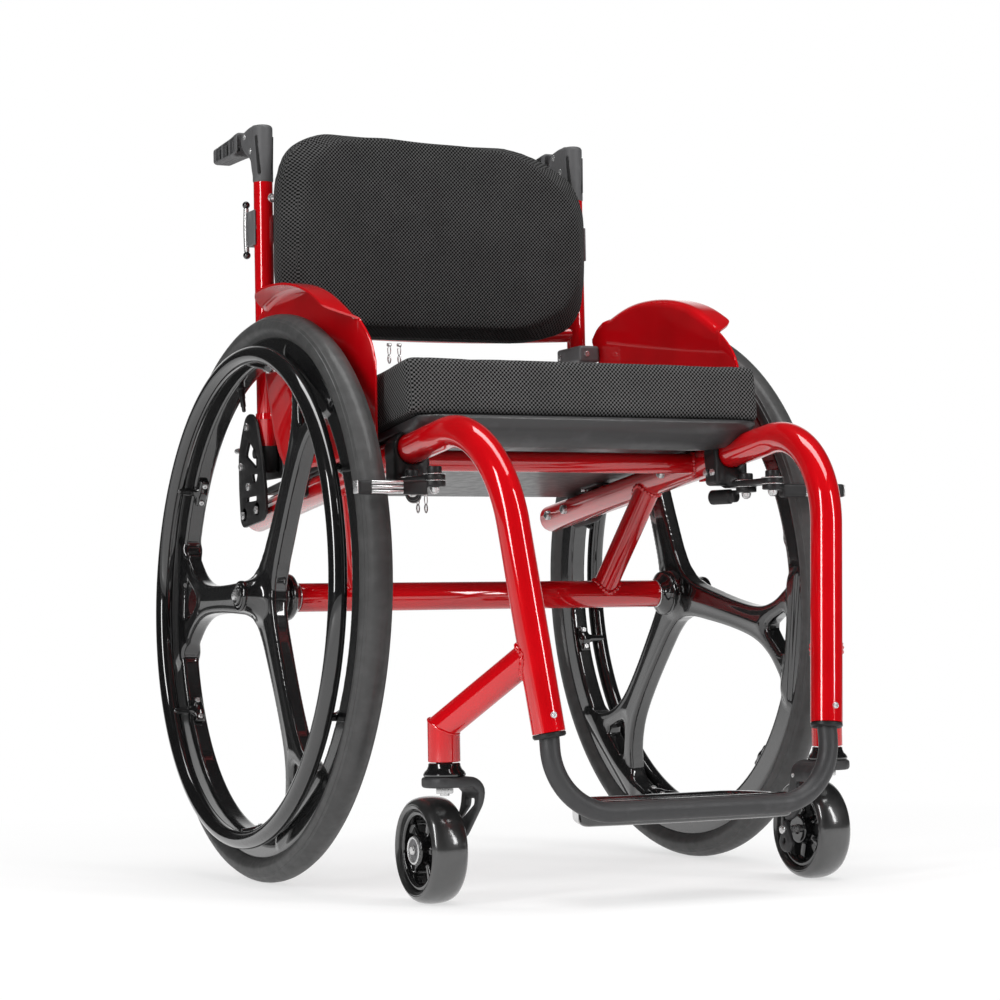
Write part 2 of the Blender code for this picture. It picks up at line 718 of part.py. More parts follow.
def make_quick_release(name, side):
    """The axle pin locked into the camber tube, and the button in its outer end."""
    frame = wheel_frame(side)
    face = HUB_REACH + GAP
    head_end = face + AXLE_HEAD_LENGTH
    well = head_end - BUTTON_LENGTH + BUTTON_PROUD - BUTTON_TRAVEL - GAP
    bore = BUTTON_RADIUS + GAP
    profile = [(0, well), (bore, well), (bore, head_end), (AXLE_HEAD_RADIUS - 0.001, head_end),
               (AXLE_HEAD_RADIUS, head_end - 0.001), (AXLE_HEAD_RADIUS, face), (AXLE_RADIUS, face),
               (AXLE_RADIUS, -AXLE_REACH_IN), (0, -AXLE_REACH_IN)]
    turned_piece(f"axle_pin_{name}", profile, 16, "steel", "chair", frame)
    top = head_end + BUTTON_PROUD
    foot = top - BUTTON_LENGTH
    button = [(0, top), (BUTTON_RADIUS - 0.001, top), (BUTTON_RADIUS, top - 0.001), (BUTTON_RADIUS, foot),
              (0, foot)]
    turned_piece(f"axle_button_{name}", button, 12, "steel", f"axle_button_{name}", frame)


# Casters

def fork_arm_x():
    """Middle of the fork arm, inboard of the caster tyre."""
    return CASTER_X - CASTER_WIDTH / 2 - FORK_ARM_GAP - FORK_ARM_THICKNESS / 2


def make_fork(name, side):
    """The plate and single arm, as what three outlines have in common."""
    body = f"caster_swivel_{name}"
    face = fork_arm_x() - FORK_ARM_THICKNESS / 2
    inside = face + FORK_ARM_THICKNESS
    low = FORK_TOP_Z - FORK_PLATE
    outer = CASTER_X + FORK_OUTER_RADIUS
    axle_y = CASTER_Y + CASTER_TRAIL
    bend = 0.016
    front = [(outer, FORK_TOP_Z), (outer, low), (inside + 0.006, low), (inside, low - 0.006), (inside, 0),
             (face, 0)]
    front += arc(face + bend, FORK_TOP_Z - bend, bend, 180, 90, 5)
    fork = add_piece(f"caster_fork_{name}", flat_mesh([(side * x, z) for x, z in front], 0.12), "satin_black",
                     body, at(0, CASTER_Y, 0) @ FRONT_PLANE)

    half = FORK_FOOT_HALF_WIDTH
    rear, fore = CASTER_Y + FORK_HALF_WIDTH, CASTER_Y - FORK_HALF_WIDTH
    profile = arc(axle_y, CASTER_RADIUS - FORK_HOLE_STEP, half, 180, 360, 6)
    profile += [(axle_y + half, CASTER_RADIUS + 0.010), (rear + 0.003, 0.095), (rear, 0.108), (rear, 0.130),
                (fore, 0.130), (fore, 0.100), (axle_y - half, CASTER_RADIUS + 0.006)]
    window = [(rear - 0.008, 0.104), (fore + 0.010, 0.104), (fore + 0.012, 0.097), (axle_y - 0.003, 0.071),
              (axle_y + 0.001, 0.073), (rear - 0.006, 0.095)]
    axle_hole = circle(axle_y, CASTER_RADIUS, clear_radius(CASTER_AXLE_RADIUS, 14), 14)
    holes = [window, axle_hole]
    for step in (-1, 1):
        holes.append(circle(axle_y, CASTER_RADIUS + step * FORK_HOLE_STEP, 0.0028, 6))
    combine(fork, "INTERSECT", flat_mesh(profile, 0.12, holes), at(side * CASTER_X, 0, 0) @ SIDE_PLANE, body)
    plan = [(x * side, y) for x, y in arc(CASTER_X, CASTER_Y, FORK_OUTER_RADIUS, 75, -75, 9)]
    plan += [(side * (inside + 0.004), fore - 0.01), (side * (face - 0.01), fore - 0.01),
             (side * (face - 0.01), axle_y + 0.02), (side * (inside + 0.004), axle_y + 0.02)]
    combine(fork, "INTERSECT", flat_mesh(plan, 0.3), Matrix(), body)
    stem = rod_mesh(clear_radius(STEM_RADIUS, 14), 0.05, 14)
    combine(fork, "DIFFERENCE", stem, at(side * CASTER_X, CASTER_Y, FORK_TOP_Z), body)


def make_stem(name, side):
    """The swivel bolt with its lower nut and the cone that covers the bearing."""
    low = FORK_TOP_Z - FORK_PLATE
    wide, narrow = BOOT_RADII
    top = BARREL_FOOT_Z + STEM_DEPTH
    boot_top = BARREL_FOOT_Z - 0.0008
    profile = [(0, top), (STEM_RADIUS, top), (STEM_RADIUS, boot_top), (narrow, boot_top),
               (narrow, boot_top - 0.003), (wide, FORK_TOP_Z + 0.0028), (wide, FORK_TOP_Z + GAP),
               (STEM_RADIUS, FORK_TOP_Z + GAP), (STEM_RADIUS, low - GAP), (0.0105, low - GAP),
               (0.0105, low - 0.005), (0, low - 0.005)]
    turned_piece(f"caster_stem_{name}", profile, 14, "satin_black", f"caster_swivel_{name}",
                 at(side * CASTER_X, CASTER_Y, 0))


def make_caster_wheel(name, side):
    frame = caster_frame(side)
    body = f"caster_wheel_{name}"
    half = CASTER_WIDTH / 2
    bed = CASTER_BED_RADIUS
    upper = [(bed, half * 0.85), (bed + 0.005, half), (CASTER_RADIUS - 0.004, half * 0.84),
             (CASTER_RADIUS, half * 0.36)]
    profile = upper + [(radius, -height) for radius, height in reversed(upper)]
    turned_piece(f"caster_tyre_{name}", profile, CASTER_STEPS, "caster_rubber", body, frame, closed=True)

    windows = []
    for i in range(CASTER_WINDOWS):
        middle = 90 + 360 * i / CASTER_WINDOWS
        windows.append(arc(0, 0, CASTER_BED_RADIUS - 0.0070, middle - 25, middle + 25, 3)
                       + arc(0, 0, CASTER_BED_RADIUS - 0.0210, middle + 20, middle - 20, 2))
    rim = circle(0, 0, bed - GAP, CASTER_STEPS)
    hub = add_piece(f"caster_hub_{name}", flat_mesh(rim, half * 1.5, windows), "gloss_black", body, frame)
    boss = turned_mesh([(0.0040, half), (0.0145, half), (0.0145, -half), (0.0040, -half)], 16, closed=True)
    combine(hub, "UNION", boss, frame, body)
    bore = rod_mesh(clear_radius(CASTER_AXLE_RADIUS, 14), 0.08, 14)
    combine(hub, "DIFFERENCE", bore, frame, body)

    inner = fork_arm_x() - FORK_ARM_THICKNESS / 2 - CASTER_X
    profile = [(0, half + 0.0035), (0.0095, half + 0.0035), (0.0105, half + 0.0025), (0.0105, half + GAP),
               (CASTER_AXLE_RADIUS, half + GAP), (CASTER_AXLE_RADIUS, inner - GAP), (0.0085, inner - GAP),
               (0.0085, inner - 0.0035), (0, inner - 0.0035)]
    turned_piece(f"caster_axle_{name}", profile, 14, "steel", f"caster_swivel_{name}", frame)


# Footrest

def make_footrest():
    slide = slide_direction()
    mouth = LEG_FOOT
    drop = foot_drop()
    corners = []
    for side in (1, -1):
        foot = Vector((side * mouth.x, mouth.y, mouth.z))
        pair = [foot - slide * FOOT_STUB, foot + slide * drop]
        corners += pair if side > 0 else pair[::-1]
    path = filleted(corners, FOOT_BEND_RADIUS, 6)
    add_piece("footrest_tube", tube_curve(path, FOOT_TUBE_RADIUS, 12), "foot_grey", "footrest")

    front = (mouth + slide * drop).y + FOOT_TUBE_RADIUS + GAP
    wide, narrow = FOOTPLATE_FRONT_WIDTH / 2, FOOTPLATE_REAR_WIDTH / 2
    corners = [(wide - 0.006, 0), (wide, 0.010), (narrow + 0.012, FOOTPLATE_LENGTH - 0.022),
               (narrow + 0.002, FOOTPLATE_LENGTH - 0.005), (narrow - 0.012, FOOTPLATE_LENGTH)]
    outline = corners + [(-x, y) for x, y in reversed(corners)]
    plate = add_piece("footplate", flat_mesh(outline, FOOTPLATE_HEIGHT), "foot_grey", "footrest",
                      at(0, front, FOOT_TUBE_Z - FOOTPLATE_DROP))
    bevel(plate, 0.006, 2)


def make_bushing(name, side):
    foot = leg_point(side, LEG_FOOT.z)
    direction = leg_direction(side)
    frame, length = span(foot + direction * GAP, foot + direction * (GAP + BUSHING_LENGTH))
    ring = add_piece(f"leg_bushing_{name}", rod_mesh(MAIN_TUBE_RADIUS, length, 18), "satin_black", "chair", frame)
    slide = slide_direction()
    cutter = tube_cutter(foot - slide * 0.02, foot + slide * 0.03, FOOT_TUBE_RADIUS, 16)
    combine(ring, "DIFFERENCE", *cutter, "chair")


# Seat

def make_seat_pan():
    seat = seat_frame()
    thick = PAN_THICKNESS
    slab = box_mesh(PAN_WIDTH, PAN_LENGTH, thick)
    middle = PAN_LENGTH / 2 - PAN_OVERHANG
    pan = add_piece("seat_pan", slab, "pan_grey", "chair", seat @ at(0, middle, -thick / 2))
    bevel(pan, 0.002)
    lip = [(0.060, -0.004), (0.045, -thick - 0.001), (0.036, -0.024), (0.029, -0.0285),
           (0.010, -0.0235), (-0.004, -0.014), (-0.0065, -0.006), (-0.004, -0.004)]
    # the outline's own X runs back along the seat and its Y out of it
    combine(pan, "UNION", flat_mesh(lip, LIP_WIDTH), seat @ SIDE_PLANE, "chair")
    tube_top = (seat.inverted() @ seat_tube_point(1, 0)).z + MAIN_TUBE_RADIUS + GAP
    height = -thick + 0.003 - tube_top
    saddles = []
    for side in SIDES.values():
        for along in (0.125, 0.345):
            saddle = at(side * (PAN_WIDTH / 2 - 0.012), along, tube_top + height / 2)
            saddles.append((box_mesh(0.020, 0.036, height), saddle))
    combine(pan, "UNION", joined_mesh(saddles), seat, "chair")


def soft_block(cuts, shape):
    """A cube cage whose points a function moves onto a cushion's form."""
    bm = bmesh.new()
    bmesh.ops.create_cube(bm, size=2)
    bmesh.ops.subdivide_edges(bm, edges=bm.edges, cuts=cuts, use_grid_fill=True)
    for vert in bm.verts:
        vert.co = shape(*(math.sin(c * math.pi / 2) for c in vert.co))
    return to_mesh(bm, "cushion")


def add_subdivision(piece):
    modifier = piece.modifiers.new("Subdivision", "SUBSURF")
    modifier.levels = 1
    modifier.render_levels = 1


def make_seat_cushion():
    def shape(a, b, c):
        drawn = CUSHION_DRAW_IN
        x = a * (CUSHION_WIDTH / 2 - drawn * (1 - b * b) * abs(a) ** 3)
        y = b * (CUSHION_LENGTH / 2 - drawn * (1 - a * a) * abs(b) ** 3)
        round_off = 0.29 * CUSHION_CORNER * max(0, abs(a) - 0.9) * max(0, abs(b) - 0.9) * 100
        x -= math.copysign(round_off, a)
        y -= math.copysign(round_off, b)
        crown = CUSHION_CROWN * (1 - a ** 4) * (1 - b ** 4) * max(c, 0)
        return Vector((x, y, c * CUSHION_THICKNESS / 2 + crown))

    frame = seat_frame() @ at(0, CUSHION_LENGTH / 2, CUSHION_THICKNESS / 2 + GAP)
    cushion = add_piece("seat_cushion", soft_block(5, shape), "mesh_cloth", "chair", frame)
    add_subdivision(cushion)


# Side guards

def guard_top():
    """The guard's upper edge from rear to front, as Y and Z, drawn round the tyre."""
    # degrees up from the rear, and clearance outside the tyre
    round_tyre = [(67.7, 0.0270), (71.2, 0.0332), (77.4, 0.0343), (84.1, 0.0345), (91.7, 0.0328),
                  (99.6, 0.0314), (107.4, 0.0295), (115.0, 0.0262), (121.5, 0.0242), (127.3, 0.0198),
                  (131.6, 0.0096)]
    points = []
    for degrees, clearance in round_tyre:
        angle = math.radians(degrees)
        reach = TYRE_RADIUS + clearance
        points.append((reach * math.cos(angle), AXLE_Z + reach * math.sin(angle)))
    return eased(points)


def make_guard_lip(side):
    """The strip that curls outward over the tyre, shorter at its outer edge."""
    top = guard_top()
    steps = 12
    bm = bmesh.new()
    bmesh.ops.create_grid(bm, x_segments=1, y_segments=steps, size=1)
    for vert in bm.verts:
        across, along = (vert.co.x + 1) / 2, (vert.co.y + 1) / 2
        first = GUARD_LIP_INNER[0] + (GUARD_LIP_OUTER[0] - GUARD_LIP_INNER[0]) * across
        last = GUARD_LIP_INNER[1] + (GUARD_LIP_OUTER[1] - GUARD_LIP_INNER[1]) * across
        y = first + (last - first) * along
        vert.co = (side * (GUARD_X + (GUARD_LIP_X - GUARD_X) * across), y, height_on(top, y) - 0.0006)
    bmesh.ops.recalc_face_normals(bm, faces=bm.faces)
    bmesh.ops.solidify(bm, geom=bm.faces[:], thickness=GUARD_THICKNESS)
    bmesh.ops.recalc_face_normals(bm, faces=bm.faces)
    return to_mesh(bm, "lip")


def make_guard(name, side):
    top = guard_top()
    front, rear = top[-1][0], CANE_Y - 0.119
    # the rear edge keeps clear of the hinge plate
    outline = top + [(front, seat_tube_z(front) - 0.004), (front + 0.014, seat_tube_z(front + 0.014) - 0.013),
                     (rear, seat_tube_z(rear) - 0.013), (rear + 0.024, BACK_PIVOT_Z - 0.046),
                     (rear + 0.050, BACK_PIVOT_Z - 0.014), (rear + 0.080, BACK_PIVOT_Z + 0.030),
                     (rear + 0.100, BACK_PIVOT_Z + 0.090)]
    panel = add_piece(f"side_guard_{name}", flat_mesh(outline, GUARD_THICKNESS), "frame_red", "chair",
                      at(side * GUARD_X, 0, 0) @ SIDE_PLANE)
    combine(panel, "UNION", make_guard_lip(side), Matrix(), "chair")
    combine(panel, "UNION", joined_mesh([boss_at(side, y, GUARD_X) for y in GUARD_BOSS_Y]), Matrix(), "chair")


def boss_at(side, y, end_x):
    """A round spacer from the seat tube's outer face to end_x."""
    z = seat_tube_z(y)
    start = abs(seat_tube_point(side, y).x) + MAIN_TUBE_RADIUS + GAP
    frame, length = span((side * start, y, z), (side * end_x, y, z))
    return rod_mesh(BOSS_RADIUS, length, 10), frame


# Backrest

def make_hinge_plate(name, side):
    # outline, slot and window are drawn round the pivot
    outline = [(-0.013, 0.042), (0.001, 0.049), (0.021, 0.046), (0.033, 0.030), (0.051, -0.008),
               (0.053, -0.068), (0.044, -0.082), (-0.014, -0.076), (-0.024, -0.066), (-0.024, 0.002)]
    slot = [(0, -0.0475), (0.020, -0.0425), (0.020, -0.0375), (0, -0.0425)]
    window = [(0.025, 0.024), (0.044, -0.014), (0.044, -0.040), (0.027, -0.018)]
    place = at(side * HINGE_PLATE_X, CANE_Y, BACK_PIVOT_Z) @ SIDE_PLANE
    plate = add_piece(f"hinge_plate_{name}", flat_mesh(outline, HINGE_PLATE_THICKNESS, [slot, window]),
                      "satin_black", "chair", place)
    outer = HINGE_PLATE_X + HINGE_PLATE_THICKNESS / 2 + 0.002
    pieces = [boss_at(side, y, outer) for y in HINGE_BOLT_Y]
    inner = CANE_X - CANE_RADIUS - 0.004
    frame, length = span((side * inner, CANE_Y, BACK_PIVOT_Z), (side * outer, CANE_Y, BACK_PIVOT_Z))
    pieces.append((rod_mesh(PIVOT_PIN_RADIUS, length, 14), frame))
    combine(plate, "UNION", joined_mesh(pieces), Matrix(), "chair")


def make_cane(name, side):
    x = side * CANE_X
    frame, length = span((x, CANE_Y, CANE_FOOT_Z), (x, CANE_Y, CANE_TOP_Z))
    cane = add_piece(f"back_cane_{name}", rod_mesh(CANE_RADIUS, length, 16), "frame_red", "backrest", frame)
    reach = CANE_RADIUS + 0.01
    cutters = []
    for z, radius in ((BACK_PIVOT_Z, PIVOT_PIN_RADIUS), (BACK_MOUNT_Z, BACK_BOLT_RADIUS)):
        cutters.append(tube_cutter((x - reach, CANE_Y, z), (x + reach, CANE_Y, z), radius, 14))
    combine(cane, "DIFFERENCE", joined_mesh(cutters), Matrix(), "backrest")


def make_back_bar():
    path = [(x * CANE_X, CANE_Y + 0.026 * (1 - x * x), BACK_BAR_Z - 0.010 * (1 - x * x))
            for x in (-1, -0.8, -0.55, -0.28, 0, 0.28, 0.55, 0.8, 1)]
    bar = add_piece("back_bar", curve_to_mesh(tube_curve(path, BACK_BAR_RADIUS, 12)), "frame_red", "backrest")
    for side in SIDES.values():
        x = side * CANE_X
        combine(bar, "DIFFERENCE", *tube_cutter((x, CANE_Y, BACK_BAR_Z - 0.05), (x, CANE_Y, BACK_BAR_Z + 0.05),
                                                CANE_RADIUS), "backrest")


def back_outline_scale(a, b):
    """How far a point of the unit square moves in to lie on the cushion's rounded outline."""
    reach = max(abs(a), abs(b))
    if reach == 0:
        return 1
    u, v = abs(a) / reach, abs(b) / reach
    power = BACK_TOP_POWER if b > 0 else BACK_FOOT_POWER
    return (u ** power + v ** power) ** (-1 / power)


def back_wrap(x):
    """How far forward of its middle the backrest lies at x."""
    return BACK_WRAP * (x / BACK_HALF_WIDTH) ** 2


def make_back_cushion():
    """A pad of even depth whose sides come forward, its front a little smaller than its rear."""
    def shape(a, b, c):
        scale = back_outline_scale(a, b)
        front = (1 + c) / 2
        inset = 1 - BACK_TAPER * front * max(abs(a), abs(b)) ** 4
        x = a * scale * BACK_HALF_WIDTH * inset
        z = b * scale * BACK_HALF_HEIGHT * inset
        depth = front * (BACK_THICKNESS - BACK_CROWN * max(abs(a), abs(b)) ** 2)
        return Vector((x, -depth - back_wrap(x), z))

    cushion = add_piece("back_cushion", soft_block(4, shape), "mesh_cloth", "backrest",
                        at(0, BACK_REAR_Y, BACK_CENTRE_Z))
    add_subdivision(cushion)


def make_back_shell():
    """The stiff panel behind the cushion, a little smaller all round and bent the same way."""
    inset = 0.88
    bm = bmesh.new()
    bmesh.ops.create_grid(bm, x_segments=8, y_segments=4, size=1)
    for vert in bm.verts:
        a, b = vert.co.x, vert.co.y
        scale = back_outline_scale(a, b) * inset
        x = a * scale * BACK_HALF_WIDTH
        vert.co = (x, GAP - back_wrap(x), b * scale * BACK_HALF_HEIGHT)
    bmesh.ops.recalc_face_normals(bm, faces=bm.faces)
    if bm.faces[:][0].normal.y > 0:
        bmesh.ops.reverse_faces(bm, faces=bm.faces)
    bmesh.ops.solidify(bm, geom=bm.faces[:], thickness=SHELL_THICKNESS)
    bmesh.ops.recalc_face_normals(bm, faces=bm.faces)
    add_piece("back_shell", to_mesh(bm, "shell"), "satin_black", "backrest", at(0, BACK_REAR_Y, BACK_CENTRE_Z))


def make_back_mount(name, side):
    """The saddle behind and outside the cane, its latch bar, and the bracket to the shell."""
    z = BACK_MOUNT_Z
    outer = CANE_X + CANE_RADIUS + GAP
    rear = CANE_Y + CANE_RADIUS + GAP
    cheek_x, block_y, tall = BACK_MOUNT_CHEEK, BACK_MOUNT_BLOCK, BACK_MOUNT_HEIGHT
    front = CANE_Y - 0.005
    cheek = box_mesh(cheek_x, rear + block_y - front, tall)
    mount = add_piece(f"back_mount_{name}", cheek, "satin_black", "backrest",
                      at(side * (outer + cheek_x / 2), (rear + block_y + front) / 2, z))
    width = 2 * CANE_RADIUS
    block = at(side * (outer + cheek_x - width / 2), rear + block_y / 2, z)
    combine(mount, "UNION", box_mesh(width, block_y, tall), block, "backrest")
    latch = at(side * (outer + 0.001), rear + block_y + 0.0015, z)
    combine(mount, "UNION", box_mesh(0.005, 0.006, tall * 1.5), latch, "backrest")
    inner = CANE_X - CANE_RADIUS - GAP
    frame, length = span((side * (inner - 0.006), CANE_Y, z), (side * (outer + 0.0015), CANE_Y, z))
    combine(mount, "UNION", rod_mesh(BACK_BOLT_RADIUS, length, 10), frame, "backrest")
    bracket_x = inner - 0.012
    face = BACK_REAR_Y - back_wrap(bracket_x - 0.012) + SHELL_THICKNESS + 2 * GAP
    depth = CANE_Y + 0.006 - face
    combine(mount, "UNION", box_mesh(0.024, depth, 0.032), at(side * bracket_x, face + depth / 2, z), "backrest")


def make_cane_clamp(name, side):
    """The black clamp round each cane just under the back cushion."""
    clamp = add_piece(f"cane_clamp_{name}", box_mesh(*CLAMP_SIZE), "satin_black", "backrest",
                      at(side * CANE_X, CLAMP_Y, CLAMP_Z))
    bevel(clamp, 0.003)
    x = side * CANE_X
    combine(clamp, "DIFFERENCE", *tube_cutter((x, CANE_Y, CLAMP_Z - 0.02), (x, CANE_Y, CLAMP_Z + 0.02),
                                              CANE_RADIUS, 16), "backrest")


# Push handles

def make_sleeve(name, side):
    x = side * CANE_X
    pivot_y, pivot_z = GRIP_PIVOT
    top = HEAD_TOP_Z
    # the head's outline, back from the cane and down from its top
    head = [(0, -0.045), (0.0115, -0.043), (0.015, -0.035), (0.021, -0.029), (0.031, -0.0255),
            (0.039, -0.021), (0.0425, -0.014), (0.042, -0.007), (0.036, -0.001), (0.026, 0), (0, -0.001)]
    sleeve = add_piece(f"handle_sleeve_{name}", flat_mesh(head, 2 * SLEEVE_RADIUS - 0.001), "satin_black",
                       "backrest", at(x, CANE_Y, top) @ SIDE_PLANE)
    bevel(sleeve, 0.003)
    radius = SLEEVE_RADIUS
    tube = [(0, top), (radius * 0.6, top), (radius * 0.9, top - 0.0025), (radius, top - 0.007),
            (radius, CANE_TOP_Z + GAP), (0, CANE_TOP_Z + GAP)]
    combine(sleeve, "UNION", turned_mesh(tube, 16), at(x, CANE_Y, 0), "backrest")
    slot_top = pivot_z + TONGUE_RADIUS + 0.0007
    slot_front = pivot_y - TONGUE_RADIUS - 0.0007
    slot = box_mesh(TONGUE_THICKNESS + 2 * GAP, 0.05, 0.06)
    combine(sleeve, "DIFFERENCE", slot, at(x, slot_front + 0.025, slot_top - 0.03), "backrest")
    groove = box_mesh(0.003, 0.003, 0.040)
    grooves = [(groove, at(x + end * radius, CANE_Y - 0.001, top - 0.036)) for end in (-1, 1)]
    combine(sleeve, "DIFFERENCE", joined_mesh(grooves), Matrix(), "backrest")
    cheek = radius - 0.002
    frame, length = span((x - cheek, pivot_y, pivot_z), (x + cheek, pivot_y, pivot_z))
    combine(sleeve, "UNION", rod_mesh(GRIP_PIN_RADIUS, length, 10), frame, "backrest")


def make_grip(name, side):
    x = side * CANE_X
    pivot_y, pivot_z = GRIP_PIVOT
    body = f"push_grip_{name}"
    full, start, end = GRIP_RADIUS, GRIP_START_Y, GRIP_START_Y + GRIP_LENGTH
    profile = [(0, end), (full * 0.55, end), (full * 0.80, end - 0.005), (full * 0.92, end - 0.018),
               (full * 0.88, end - 0.020), (full, end - 0.036), (full * 0.95, end - 0.038),
               (full, start + 0.030), (full * 0.94, start + 0.028), (full * 0.88, start), (0, start)]
    frame = frame_on((x, 0, pivot_z), (0, 1, 0), (1, 0, 0))
    grip = add_piece(f"push_grip_{name}", turned_mesh(profile, 12), "grip_rubber", body, frame)
    eye = TONGUE_RADIUS
    outline = arc(pivot_y, pivot_z, eye, 90, 270, 7)
    outline += [(start + 0.006, pivot_z - eye), (start + 0.006, pivot_z + eye)]
    hole = circle(pivot_y, pivot_z, clear_radius(GRIP_PIN_RADIUS, 10), 10)
    combine(grip, "UNION", flat_mesh(outline, TONGUE_THICKNESS, [hole]), at(x, 0, 0) @ SIDE_PLANE, body)


# Brakes

def make_brake_mount(name, side):
    width, length = BRAKE_MOUNT_SIZE
    centre_z = seat_tube_z(BRAKE_MOUNT_Y)
    top = centre_z + MAIN_TUBE_RADIUS * 0.65
    low = BRAKE_PLATE_Z - BRAKE_LINK_THICKNESS / 2
    block = box_mesh(width, length, top - low)
    mount = add_piece(f"brake_mount_{name}", block, "satin_black", "chair",
                      at(seat_tube_point(side, BRAKE_MOUNT_Y).x, BRAKE_MOUNT_Y, (top + low) / 2))
    bevel(mount, 0.002)
    pivots = (LEVER_PIVOT, BAR_PIVOT)
    reach = BRAKE_EYE_RADIUS
    outline = [(LEVER_PIVOT[0] - reach, BRAKE_MOUNT_Y), (LEVER_PIVOT[0] + reach, BRAKE_MOUNT_Y)]
    outline += arc(*BAR_PIVOT, reach, 0, -180, 7)
    outline = [(side * x, y) for x, y in outline]
    combine(mount, "UNION", flat_mesh(outline, BRAKE_LINK_THICKNESS), at(0, 0, BRAKE_PLATE_Z), "chair")
    pin_top = BRAKE_PLATE_Z + 0.001
    pin_end = link_z() - BRAKE_LINK_THICKNESS / 2 - 0.003
    pins = []
    for x, y in pivots:
        frame, span_length = span((side * x, y, pin_end), (side * x, y, pin_top))
        pins.append((rod_mesh(BRAKE_PIN_RADIUS, span_length, 10), frame))
    combine(mount, "UNION", joined_mesh(pins), Matrix(), "chair")
    combine(mount, "DIFFERENCE", *seat_tube_cutter(side), "chair")


def link_z():
    """Middle of the two moving links, just under the brake's fixed plate."""
    return BRAKE_PLATE_Z - BRAKE_LINK_THICKNESS - GAP


def make_link(piece_name, side, pivot, end, finish, body):
    """A flat eye round a pivot pin, drawn out into a round bar."""
    z = link_z()
    x, y = pivot
    eye = add_piece(piece_name, rod_mesh(BRAKE_EYE_RADIUS, BRAKE_LINK_THICKNESS, 14), finish, body,
                    at(side * x, y, z))
    toward = (Vector(end) - Vector(pivot)).normalized()
    start = Vector(pivot) + toward * (BRAKE_EYE_RADIUS - 0.002)
    drop = BRAKE_BAR_RADIUS - BRAKE_LINK_THICKNESS / 2
    frame, length = span((side * start.x, start.y, z - drop), (side * end[0], end[1], z - drop))
    combine(eye, "UNION", rod_mesh(BRAKE_BAR_RADIUS, length, 12), frame, body)
    hole = rod_mesh(clear_radius(BRAKE_PIN_RADIUS, 10), 0.04, 10)
    combine(eye, "DIFFERENCE", hole, at(side * x, y, z), body)


def make_brake(name, side):
    make_brake_mount(name, side)
    make_link(f"brake_lever_{name}", side, LEVER_PIVOT, LEVER_END, "satin_black", f"brake_lever_{name}")
    make_link(f"brake_bar_{name}", side, BAR_PIVOT, (BRAKE_BAR_END_X, BAR_PIVOT[1] - 0.002), "steel",
              f"brake_bar_{name}")


# Assembly

def make_bodies():
    add_body("chair", Matrix(), None)
    BODIES["chair"].location = (0, axle_y(), 0)
    add_body("footrest", at(0, LEG_FOOT.y, LEG_FOOT.z), "chair")
    add_body("backrest", at(0, CANE_Y, BACK_PIVOT_Z), "chair")
    for name, side in SIDES.items():
        add_body(f"rear_wheel_{name}", wheel_frame(side), "chair")
        add_body(f"axle_button_{name}", wheel_frame(side), "chair")
        add_body(f"caster_swivel_{name}", at(side * CASTER_X, CASTER_Y, BARREL_FOOT_Z), "chair")
        add_body(f"caster_wheel_{name}", caster_frame(side), f"caster_swivel_{name}")
        add_body(f"push_grip_{name}", at(side * CANE_X, *GRIP_PIVOT), "backrest")
        add_body(f"brake_lever_{name}", at(side * LEVER_PIVOT[0], LEVER_PIVOT[1], link_z()), "chair")
        add_body(f"brake_bar_{name}", at(side * BAR_PIVOT[0], BAR_PIVOT[1], link_z()), "chair")


def make_chair():
    make_bodies()
    make_camber_tube()
    make_crossbar()
    make_seat_pan()
    make_seat_cushion()
    make_footrest()
    make_back_bar()
    make_back_shell()
    make_back_cushion()
    for name, side in SIDES.items():
        make_side_frame(name, side)
        make_riser(name, side)
        make_caster_mount(name, side)
        make_guard(name, side)
        make_bushing(name, side)
        make_wheel(name, side)
        make_tyre(name, side)
        make_handrim(name, side)
        make_quick_release(name, side)
        make_fork(name, side)
        make_stem(name, side)
        make_caster_wheel(name, side)
        make_hinge_plate(name, side)
        make_cane(name, side)
        make_back_mount(name, side)
        make_cane_clamp(name, side)
        make_sleeve(name, side)
        make_grip(name, side)
        make_brake(name, side)


clear_scene()
PARTS = new_collection("wheelchair")
GUIDES = new_collection("guides")
make_chair()
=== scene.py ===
"""The looks of the ultralight wheelchair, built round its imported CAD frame.

Metres, +Z up; the chair faces -Y and the sitter's right hand is on -X. Places are written
from the ground point under the rear axle, as in the part's source; CHAIR moves them to the
model's own origin.
"""
import itertools
import json
import math

import bmesh
import bpy
import numpy as np
from mathutils import Matrix, Vector


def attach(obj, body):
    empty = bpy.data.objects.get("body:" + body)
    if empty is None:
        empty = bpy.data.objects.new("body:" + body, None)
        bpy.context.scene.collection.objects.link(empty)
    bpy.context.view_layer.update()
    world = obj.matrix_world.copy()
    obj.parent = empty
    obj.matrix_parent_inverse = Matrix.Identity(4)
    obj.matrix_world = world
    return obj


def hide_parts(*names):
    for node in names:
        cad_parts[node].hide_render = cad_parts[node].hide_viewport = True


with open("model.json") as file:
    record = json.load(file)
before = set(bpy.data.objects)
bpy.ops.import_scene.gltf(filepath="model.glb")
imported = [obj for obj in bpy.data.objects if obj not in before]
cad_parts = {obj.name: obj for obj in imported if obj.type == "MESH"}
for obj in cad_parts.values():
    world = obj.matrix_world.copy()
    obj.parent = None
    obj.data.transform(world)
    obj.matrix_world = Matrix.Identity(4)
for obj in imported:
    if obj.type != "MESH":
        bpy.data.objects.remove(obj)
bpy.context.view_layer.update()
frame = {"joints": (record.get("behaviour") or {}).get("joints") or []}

SIDES = {"right": -1, "left": 1}
JOINTS = {joint["name"]: joint for joint in frame["joints"]}
AXLE = Vector(JOINTS["rear_wheel_spin_left"]["pos_m"])
CHAIR = Matrix.Translation((0, AXLE.y, 0))

